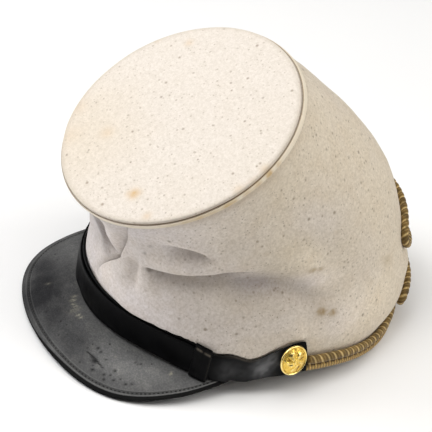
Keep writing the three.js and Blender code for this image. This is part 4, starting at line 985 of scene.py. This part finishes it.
def build_back_cord():
    """One closed loop of cord, wound round with short slanting turns."""
    per_deg, tall = 1.4, 205.0
    half = [(a * per_deg, h * tall) for a, h in BACK_CORD]
    knots = np.array(half + [(-x, y) for x, y in half[1:-1][::-1]])
    n = len(knots)
    pts = []
    for i in range(n):  # centripetal spline through the knots
        p0, p1, p2, p3 = (knots[(i + k) % n] for k in (-1, 0, 1, 2))
        d0, d1, d2 = (max(np.linalg.norm(b - a) ** 0.5, 1e-4) for a, b in ((p0, p1), (p1, p2), (p2, p3)))
        m1 = ((p1 - p0) / d0 - (p2 - p0) / (d0 + d1) + (p2 - p1) / d1) * d1
        m2 = ((p2 - p1) / d1 - (p3 - p1) / (d1 + d2) + (p3 - p2) / d2) * d1
        for k in np.arange(60) / 60:
            pts.append((2 * k ** 3 - 3 * k * k + 1) * p1 + (k ** 3 - 2 * k * k + k) * m1 + (3 * k * k - 2 * k ** 3) * p2 + (k ** 3 - k * k) * m2)
    pts = np.array(pts)
    t, s = (180 - pts[:, 0] / per_deg) * RAD, pts[:, 1] / tall
    radius = 2.5

    def lay(t, s):
        out = wall_normal(t, s)
        return smooth_wall(t, s) + (radius - 0.2) * out, out

    line, _ = lay(t, s)
    loop = np.vstack([line, line[:1]])
    run = np.concatenate([[0], np.cumsum(np.linalg.norm(np.diff(loop, axis=0), axis=1))])
    m = int(run[-1] / 0.27)
    want = np.arange(m) / m * run[-1]
    path, out = lay(np.interp(want, run, np.append(t, t[0])), np.interp(want, run, np.append(s, s[0])))
    side, other, run, total = along_path(path, out, True)
    na = 44
    phi = np.arange(na) / na * 2 * math.pi
    U, P = np.meshgrid(run, phi, indexing="ij")
    drift = 0.1 * value_noise(U / total, 0 * U, int(total / 9), 1, 81)
    phase = U / (total / round(total / 4.4)) + drift + P / (2 * math.pi) + 0.1 * np.cos(P)
    q = phase - np.floor(phase)
    strand = 0.5 - 0.5 * np.cos(2 * math.pi * q)
    thread = 0.5 + 0.5 * np.cos(2 * math.pi * 4 * phase)
    rr = radius - 0.12 + 0.34 * (np.sqrt(strand) - 0.64) + 0.04 * (thread - 0.5)
    points = path[:, None] + (rr * np.cos(P))[..., None] * side[:, None] + (rr * np.sin(P))[..., None] * other[:, None]
    var = 0.5 + 0.5 * value_noise(U / total, P / (2 * math.pi), int(total / 2.0), 7, 86)
    near = np.minimum(q, 1 - q)
    arc = np.clip(np.exp(-((near - 0.02) / 0.1) ** 2) + 0.3 * np.exp(-((q - 0.45) / 0.07) ** 2), 0, 1) * (0.45 + 0.55 * smooth((var - 0.2) / 0.3))
    col = OLIVE * (0.6 + 0.9 * var[..., None]) * (1 - arc[..., None]) + CREAM * (0.75 + 0.35 * var[..., None]) * arc[..., None]
    return make("back_cord_braid", points.reshape(-1, 3), grid_faces(len(path), na, True, True), None, {"braid": col.reshape(-1, 3)})


# ------------------------------------------------------------------ materials
class Look:
    """A node material with short calls for its nodes."""

    def __init__(self, name):
        self.mat = bpy.data.materials.new(name)
        self.mat.use_nodes = True
        self.nt = self.mat.node_tree
        self.nt.nodes.clear()
        self.out = self.nt.nodes.new("ShaderNodeOutputMaterial")
        self.bsdf = self.nt.nodes.new("ShaderNodeBsdfPrincipled")
        self.nt.links.new(self.bsdf.outputs[0], self.out.inputs[0])
        self.co = self.nt.nodes.new("ShaderNodeTexCoord").outputs["Object"]

    def put(self, socket, value):
        if isinstance(value, bpy.types.NodeSocket):
            self.nt.links.new(value, socket)
        else:
            socket.default_value = value

    def shader(self, **values):
        for key, value in values.items():
            self.put(self.bsdf.inputs[key.replace("_", " ")], value)

    def noise(self, scale, detail=3.0, rough=0.5, warp=0.0, co=None):
        n = self.nt.nodes.new("ShaderNodeTexNoise")
        self.put(n.inputs["Vector"], co or self.co)
        self.put(n.inputs["Scale"], scale)
        self.put(n.inputs["Detail"], detail)
        self.put(n.inputs["Roughness"], rough)
        self.put(n.inputs["Distortion"], warp)
        return n.outputs["Fac"]

    def cells(self, scale, feature="F1", co=None, randomness=1.0, smoothness=None):
        n = self.nt.nodes.new("ShaderNodeTexVoronoi")
        n.feature = feature
        self.put(n.inputs["Vector"], co or self.co)
        self.put(n.inputs["Scale"], scale)
        self.put(n.inputs["Randomness"], randomness)
        if smoothness is not None:
            self.put(n.inputs["Smoothness"], smoothness)
        return n.outputs["Distance"], n.outputs["Color"] if "Color" in n.outputs else None

    def math(self, op, a, b=0.0, c=0.0, clamp=False):
        n = self.nt.nodes.new("ShaderNodeMath")
        n.operation = op
        n.use_clamp = clamp
        for k, v in enumerate((a, b, c)):
            if k < len(n.inputs):
                self.put(n.inputs[k], v)
        return n.outputs[0]

    def ramp(self, x, lo, hi, a=0.0, b=1.0, soft=True):
        n = self.nt.nodes.new("ShaderNodeMapRange")
        n.interpolation_type = "SMOOTHSTEP" if soft else "LINEAR"
        self.put(n.inputs["Value"], x)
        self.put(n.inputs["From Min"], lo)
        self.put(n.inputs["From Max"], hi)
        self.put(n.inputs["To Min"], a)
        self.put(n.inputs["To Max"], b)
        return n.outputs[0]

    def mix(self, fac, a, b, kind="MIX"):
        n = self.nt.nodes.new("ShaderNodeMix")
        n.data_type = "RGBA"
        n.blend_type = kind
        self.put(n.inputs[0], fac)
        for socket, v in ((n.inputs[6], a), (n.inputs[7], b)):
            self.put(socket, (*v, 1.0) if isinstance(v, tuple) and len(v) == 3 else v)
        return n.outputs[2]

    def attr(self, name, colour=False):
        n = self.nt.nodes.new("ShaderNodeAttribute")
        n.attribute_name = name
        return n.outputs["Color" if colour else "Fac"]

    def part(self, colour, k):
        n = self.nt.nodes.new("ShaderNodeSeparateColor")
        self.put(n.inputs[0], colour)
        return n.outputs[k]

    def stretch(self, sx, sy, sz):
        n = self.nt.nodes.new("ShaderNodeMapping")
        self.put(n.inputs["Vector"], self.co)
        n.inputs["Scale"].default_value = (sx, sy, sz)
        return n.outputs[0]

    def bump(self, height, distance, strength=1.0, normal=None):
        n = self.nt.nodes.new("ShaderNodeBump")
        self.put(n.inputs["Height"], height)
        n.inputs["Distance"].default_value = distance
        n.inputs["Strength"].default_value = strength
        if normal is not None:
            self.put(n.inputs["Normal"], normal)
        return n.outputs[0]

    def specks(self, scale, size, share, co=None):
        """Soft dots: a share of the cells of a cell pattern carry one each, of uneven size."""
        dist, colour = self.cells(scale, co=co)
        pick = self.part(colour, 0)
        grow = self.ramp(self.part(colour, 1), 0, 1, size * 0.5, size, False)
        has = self.math("LESS_THAN", pick, share)
        dot = self.ramp(self.math("DIVIDE", dist, grow), 1.0, 0.25)
        return self.math("MULTIPLY", dot, has)


def felt_wall_look():
    m = Look("felt_wall")
    blotch = m.noise(14.0, 3.0, 0.55)
    cloud = m.noise(85.0, 3.0, 0.6)
    mottle = m.noise(420.0, 4.0, 0.65)
    pill = m.noise(700.0, 3.0, 0.6)
    fibre = m.noise(1700.0, 3.0, 0.6, 0.4)
    warm = m.math("ADD", m.attr("warm"), m.ramp(blotch, 0.3, 0.7, -0.16, 0.16), clamp=True)
    col = m.mix(warm, (0.690, 0.640, 0.632), (0.700, 0.618, 0.500))
    # painted light and shade from the tone attribute: lighter rolls, ridges and facets, darker hollows
    col = m.mix(m.ramp(m.attr("tone"), -1.0, 1.0, 0.0, 1.0, False), m.mix(1.0, col, (0.82, 0.82, 0.82), "MULTIPLY"), m.mix(1.0, col, (1.18, 1.18, 1.18), "MULTIPLY"))
    col = m.mix(m.ramp(mottle, 0.3, 0.72), m.mix(1.0, col, (0.925, 0.915, 0.9), "MULTIPLY"), m.mix(1.0, col, (1.045, 1.05, 1.055), "MULTIPLY"))
    col = m.mix(m.ramp(pill, 0.36, 0.68, 0.0, 0.7), col, m.mix(1.0, col, (0.80, 0.78, 0.745), "MULTIPLY"))
    col = m.mix(m.ramp(cloud, 0.42, 0.7, 0.0, 0.6), col, m.mix(1.0, col, (0.95, 0.925, 0.885), "MULTIPLY"))
    soil = m.attr("soil")
    small = m.math("MULTIPLY", m.specks(480.0, 0.32, 0.5), m.ramp(soil, 0.05, 0.9, 0.2, 0.7))
    large = m.math("MULTIPLY", m.specks(230.0, 0.33, 0.46), m.ramp(soil, 0.1, 0.8, 0.12, 0.58))
    rare = m.math("MULTIPLY", m.specks(110.0, 0.2, 0.4), m.ramp(soil, 0.1, 0.8, 0.3, 0.66))
    col = m.mix(small, col, (0.235, 0.185, 0.125))
    col = m.mix(large, col, (0.25, 0.195, 0.13))
    col = m.mix(rare, col, (0.19, 0.145, 0.09))
    col = m.mix(m.math("MULTIPLY", m.attr("stain"), m.ramp(mottle, 0.25, 0.7, 0.45, 1.0)), col, (0.33, 0.22, 0.085))
    # painted shade in the hollows of the folds, the front pinch and the side trough
    col = m.mix(m.attr("shade"), col, m.mix(1.0, col, (0.47, 0.45, 0.45), "MULTIPLY"))
    # painted shade: a dark line along the crease bottoms and at small pinches
    col = m.mix(m.math("MULTIPLY", m.attr("crease"), 0.8), col, (0.15, 0.125, 0.105))
    # painted shade, tinted brown, under the welt
    col = m.mix(m.math("MULTIPLY", m.attr("under"), m.ramp(mottle, 0.2, 0.8, 0.3, 0.6)), col, (0.40, 0.31, 0.215))
    col = m.mix(m.math("MULTIPLY", m.attr("welt"), 0.85), col, (0.80, 0.72, 0.58))
    col = m.mix(m.attr("tan"), col, (0.58, 0.42, 0.225))
    col = m.mix(m.attr("seam"), col, (0.29, 0.20, 0.11))
    height = m.math("ADD", m.math("MULTIPLY", fibre, 0.7), m.math("MULTIPLY", mottle, 0.8))
    m.shader(Base_Color=col, Roughness=0.94, Normal=m.bump(height, 0.00055, 0.6))
    m.shader(Specular_IOR_Level=0.12, Sheen_Weight=0.12, Sheen_Roughness=0.5)
    return m.mat


def felt_top_look():
    m = Look("felt_top")
    blotch = m.noise(16.0, 3.0, 0.55)
    mottle = m.noise(450.0, 4.0, 0.65)
    pill = m.noise(1000.0, 3.0, 0.6)
    fibre = m.noise(1700.0, 3.0, 0.6, 0.4)
    age = m.math("ADD", m.attr("age"), m.ramp(blotch, 0.3, 0.7, -0.2, 0.2), clamp=True)
    col = m.mix(age, (0.75, 0.69, 0.625), (0.73, 0.655, 0.56))
    col = m.mix(m.ramp(mottle, 0.3, 0.72), m.mix(1.0, col, (0.93, 0.92, 0.90), "MULTIPLY"), m.mix(1.0, col, (1.05, 1.05, 1.055), "MULTIPLY"))
    col = m.mix(m.ramp(pill, 0.35, 0.7, 0.0, 0.7), col, m.mix(1.0, col, (0.88, 0.865, 0.84), "MULTIPLY"))
    tiny = m.math("MULTIPLY", m.specks(430.0, 0.34, 0.42), 0.5)
    mid = m.math("MULTIPLY", m.specks(260.0, 0.3, 0.46), 0.55)
    some = m.math("MULTIPLY", m.specks(150.0, 0.22, 0.48), 0.62)
    col = m.mix(tiny, col, (0.36, 0.29, 0.22))
    col = m.mix(mid, col, (0.34, 0.27, 0.2))
    col = m.mix(some, col, (0.25, 0.18, 0.12))
    col = m.mix(m.math("MULTIPLY", m.attr("stain"), m.ramp(mottle, 0.2, 0.7, 0.55, 1.0)), col, (0.62, 0.40, 0.17))
    # painted shade on the rolled edge of the top
    col = m.mix(m.math("MULTIPLY", m.attr("edge"), 0.45), col, (0.52, 0.455, 0.37))
    col = m.mix(m.attr("tan"), col, (0.50, 0.36, 0.20))
    col = m.mix(m.attr("seam"), col, (0.27, 0.185, 0.10))
    height = m.math("ADD", m.math("MULTIPLY", fibre, 0.7), m.math("MULTIPLY", mottle, 0.7))
    m.shader(Base_Color=col, Roughness=0.94, Normal=m.bump(height, 0.0005, 0.5))
    m.shader(Specular_IOR_Level=0.12, Sheen_Weight=0.12, Sheen_Roughness=0.5)
    return m.mat


def peak_look():
    m = Look("peak_leather")
    cloud = m.noise(38.0, 4.0, 0.6, 0.3)
    haze = m.noise(120.0, 5.0, 0.65, 0.2)
    fine = m.noise(900.0, 3.0, 0.6)
    dist, _ = m.cells(950.0)
    grain = m.ramp(dist, 0.0, 0.6)
    # grey clouding of the leather, plus painted sheen mixed with rubbed grey
    grey_and_sheen = m.math("ADD", m.ramp(cloud, 0.3, 0.72, 0.1, 0.62), m.attr("sheen_and_wear"))
    col = m.mix(m.ramp(grey_and_sheen, -0.4, 1.6, 0.0, 1.0, False), (0.018, 0.018, 0.0195), (0.150, 0.150, 0.150))
    col = m.mix(m.ramp(haze, 0.42, 0.75, 0.0, 0.5), col, m.mix(1.0, col, (1.7, 1.68, 1.6), "MULTIPLY"))
    col = m.mix(m.ramp(fine, 0.38, 0.68, 0.0, 0.7), col, m.mix(1.0, col, (1.55, 1.54, 1.5), "MULTIPLY"))
    spots = m.math("MULTIPLY", m.specks(230.0, 0.24, 0.2), 0.8)
    col = m.mix(spots, col, (0.010, 0.010, 0.010))
    flecks = m.math("MULTIPLY", m.specks(420.0, 0.2, 0.14), m.ramp(grey_and_sheen, 0.4, 1.2, 0.0, 0.6))
    col = m.mix(flecks, col, (0.20, 0.195, 0.18))
    dust = m.math("MULTIPLY", m.attr("dust"), m.ramp(m.noise(520.0, 4.0, 0.7), 0.5, 0.72, 0.0, 0.5))
    col = m.mix(dust, col, (0.16, 0.155, 0.14))
    col = m.mix(m.math("MULTIPLY", m.attr("scuff"), m.ramp(fine, 0.33, 0.6, 0.2, 1.0)), col, (0.34, 0.32, 0.25))
    # painted highlight on the ridges beside the stitch channel
    col = m.mix(m.math("MULTIPLY", m.attr("light"), 0.45), col, (0.16, 0.16, 0.155))
    col = m.mix(m.math("MULTIPLY", m.attr("groove"), 0.25), col, (0.010, 0.010, 0.010))
    col = m.mix(m.attr("rim"), col, (0.004, 0.004, 0.004))
    col = m.mix(m.attr("mark"), col, (0.006, 0.006, 0.006))
    rough = m.math("ADD", m.ramp(cloud, 0.3, 0.7, 0.42, 0.54), m.ramp(haze, 0.4, 0.75, 0.0, 0.10))
    rough = m.math("ADD", rough, m.math("MULTIPLY", m.attr("groove"), 0.15))
    rough = m.math("ADD", rough, m.math("MULTIPLY", m.attr("rim"), 0.3))
    height = m.math("ADD", m.math("MULTIPLY", grain, 0.5), m.math("MULTIPLY", fine, 0.6))
    height = m.math("ADD", height, m.math("MULTIPLY", haze, 0.9))
    m.shader(Base_Color=col, Roughness=rough, Normal=m.bump(height, 0.00028, 0.55))
    m.shader(Specular_IOR_Level=0.13)
    return m.mat


def strap_look():
    m = Look("strap_leather")
    cloud = m.noise(60.0, 4.0, 0.6)
    fine = m.noise(1100.0, 3.0, 0.6)
    dist, _ = m.cells(1300.0)
    col = m.mix(m.ramp(cloud, 0.3, 0.7), (0.0012, 0.0012, 0.0015), (0.0028, 0.0028, 0.0032))
    # painted sheen where the single strap bulges
    sheen_mask = m.math("MULTIPLY", m.attr("painted_sheen"), m.ramp(cloud, 0.25, 0.6, 0.6, 1.0))
    col = m.mix(sheen_mask, col, (0.185, 0.185, 0.189))
    col = m.mix(m.math("MULTIPLY", m.attr("edge"), m.ramp(fine, 0.35, 0.65, 0.1, 0.5)), col, (0.009, 0.009, 0.009))
    # raw leather edge, and on the keepers a painted highlight along the upper front bend
    col = m.mix(m.math("MULTIPLY", m.attr("raw_edge_and_highlight"), m.ramp(fine, 0.3, 0.6, 0.45, 0.9)), col, (0.12, 0.105, 0.085))
    rough = m.math("ADD", m.ramp(cloud, 0.3, 0.7, 0.30, 0.40), m.math("MULTIPLY", m.attr("edge"), 0.12))
    height = m.math("ADD", m.math("MULTIPLY", m.ramp(dist, 0, 0.6), 0.4), m.math("MULTIPLY", fine, 0.5))
    m.shader(Base_Color=col, Roughness=rough, Normal=m.bump(height, 0.00008, 0.4))
    m.shader(Specular_IOR_Level=0.05)
    return m.mat


def gilt_look():
    m = Look("gilt")
    tone = m.noise(620.0, 4.0, 0.6)
    fine = m.noise(2600.0, 2.0, 0.5)
    k = m.math("ADD", m.attr("height"), m.ramp(tone, 0.3, 0.7, -0.2, 0.2), clamp=True)
    col = m.mix(m.ramp(k, 0.05, 0.36), (0.26, 0.125, 0.018), (0.84, 0.57, 0.11))
    col = m.mix(m.ramp(k, 0.5, 0.98), col, (1.0, 0.80, 0.32))
    rough = m.ramp(k, 0.1, 0.9, 0.5, 0.24)
    m.shader(Base_Color=col, Roughness=rough, Normal=m.bump(m.math("ADD", tone, m.math("MULTIPLY", fine, 0.5)), 0.0002, 0.6))
    m.shader(Metallic=1.0)
    return m.mat


def cord_look():
    m = Look("cord")
    base = m.attr("braid", True)
    fibre = m.noise(1900.0, 3.0, 0.65, 0.5)
    tone = m.noise(240.0, 3.0, 0.6)
    col = m.mix(m.ramp(fibre, 0.3, 0.7), m.mix(1.0, base, (0.62, 0.60, 0.58), "MULTIPLY"), m.mix(1.0, base, (1.18, 1.16, 1.1), "MULTIPLY"))
    col = m.mix(m.ramp(tone, 0.35, 0.7, 0.0, 0.35), col, m.mix(1.0, col, (0.7, 0.66, 0.6), "MULTIPLY"))
    m.shader(Base_Color=col, Roughness=m.ramp(fibre, 0.3, 0.7, 0.62, 0.85), Normal=m.bump(fibre, 0.0003, 0.6))
    m.shader(Specular_IOR_Level=0.3, Sheen_Weight=0.15, Sheen_Roughness=0.4)
    return m.mat


def thread_look():
    m = Look("thread")
    twist = m.noise(2400.0, 2.0, 0.6)
    col = m.mix(m.ramp(twist, 0.3, 0.7), (0.006, 0.006, 0.006), (0.022, 0.021, 0.02))
    m.shader(Base_Color=col, Roughness=m.ramp(twist, 0.3, 0.7, 0.5, 0.7), Normal=m.bump(twist, 0.0002, 0.6))
    m.shader(Specular_IOR_Level=0.35)
    return m.mat


def floor_look():
    m = Look("floor")
    tone = m.noise(3.0, 2.0, 0.5)
    m.shader(Base_Color=m.mix(m.ramp(tone, 0.3, 0.7), (0.90, 0.90, 0.90), (0.92, 0.92, 0.92)), Roughness=0.9)
    m.shader(Specular_IOR_Level=0.1)
    return m.mat


# ------------------------------------------------------------------ put it together
felt_wall, felt_top, peak_mat = felt_wall_look(), felt_top_look(), peak_look()
strap_mat, gilt_mat, cord_mat, thread_mat = strap_look(), gilt_look(), cord_look(), thread_look()

PIECES = [  # piece, material, record slot, node that it stands for
    (build_wall(), felt_wall, "felt_wall", "crown_wall"),
    (build_top(), felt_top, "felt_top", "crown_top"),
    (build_peak(), peak_mat, "peak_leather", "peak"),
    (build_stitches(), thread_mat, "peak_leather", None),
    (build_strap("strap_left_leather", STRAP_LEFT, 101), strap_mat, "strap_leather", "strap_left"),
    (build_strap("strap_right_leather", STRAP_RIGHT, 111), strap_mat, "strap_leather", "strap_right"),
    (build_keeper("keeper_left_leather", KEEPERS["keeper_left"]), strap_mat, "strap_leather", "keeper_left"),
    (build_keeper("keeper_right_leather", KEEPERS["keeper_right"]), strap_mat, "strap_leather", "keeper_right"),
    (build_button("button_left_gilt", STRAP_LEFT, 1, 121), gilt_mat, "gilt", "button_left"),
    (build_button("button_right_gilt", STRAP_RIGHT, -1, 131), gilt_mat, "gilt", "button_right"),
    (build_base_cord(), cord_mat, "cord", "base_cord"),
    (build_back_cord(), cord_mat, "cord", "back_cord"),
]
for piece, material, slot, node in PIECES:
    piece.data.materials.append(material)
    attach(piece, "root")
    if node:
        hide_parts(node)


# ------------------------------------------------------------------ floor and light
def set_stage():
    size, n = 6.0, 24
    g = np.linspace(-size, size, n)
    x, y = np.meshgrid(g, g, indexing="ij")
    pts = np.stack([x, y, 0 * x - 0.0002], -1).reshape(-1, 3)
    me = bpy.data.meshes.new("floor")
    me.from_pydata(pts.tolist(), [], grid_faces(n, n, False, False).tolist())
    me.update()
    floor = bpy.data.objects.new("floor", me)
    bpy.context.scene.collection.objects.link(floor)
    floor.data.materials.append(floor_look())

    def area(name, at, aim, size, power, tint=(1, 1, 1)):
        lamp = bpy.data.lights.new(name, "AREA")
        lamp.shape = "DISK"
        lamp.size = size
        lamp.energy = power
        lamp.color = tint
        obj = bpy.data.objects.new(name, lamp)
        bpy.context.scene.collection.objects.link(obj)
        obj.location = at
        obj.rotation_euler = (Vector(aim) - Vector(at)).to_track_quat("-Z", "Y").to_euler()

    def ring(turn_deg, lift_deg, far):
        """A place at an angle round the cap (0 in front, 90 on its left), an elevation and a distance."""
        w, e = math.radians(turn_deg), math.radians(lift_deg)
        return (far * math.cos(e) * math.sin(w), -far * math.cos(e) * math.cos(w), far * math.sin(e) + 0.08)

    aim = (0, 0, 0.08)
    area("top_light", (0.1, -0.1, 1.6), aim, 1.5, 11.0, (1.0, 0.99, 0.97))
    area("top_front_light", ring(0, 62, 1.5), aim, 1.0, 10.0, (1.0, 0.99, 0.975))
    area("left_light", ring(-35, 35, 1.5), aim, 1.0, 9.0, (0.97, 0.98, 1.0))
    area("low_light", ring(-20, 15, 1.5), aim, 0.8, 3.4, (0.97, 0.98, 1.0))
    area("right_light", ring(150, 35, 1.5), aim, 1.0, 10.4, (1.0, 0.98, 0.95))
    area("side_light", ring(125, 15, 1.5), aim, 0.8, 1.8, (1.0, 0.98, 0.95))
    world = bpy.data.worlds.new("studio")
    bpy.context.scene.world = world
    world.use_nodes = True
    world.node_tree.nodes["Background"].inputs[0].default_value = (1.0, 1.0, 1.0, 1.0)
    world.node_tree.nodes["Background"].inputs[1].default_value = 0.03
    bpy.context.scene.view_settings.view_transform = "Standard"
    bpy.context.scene.view_settings.look = "None"


set_stage()
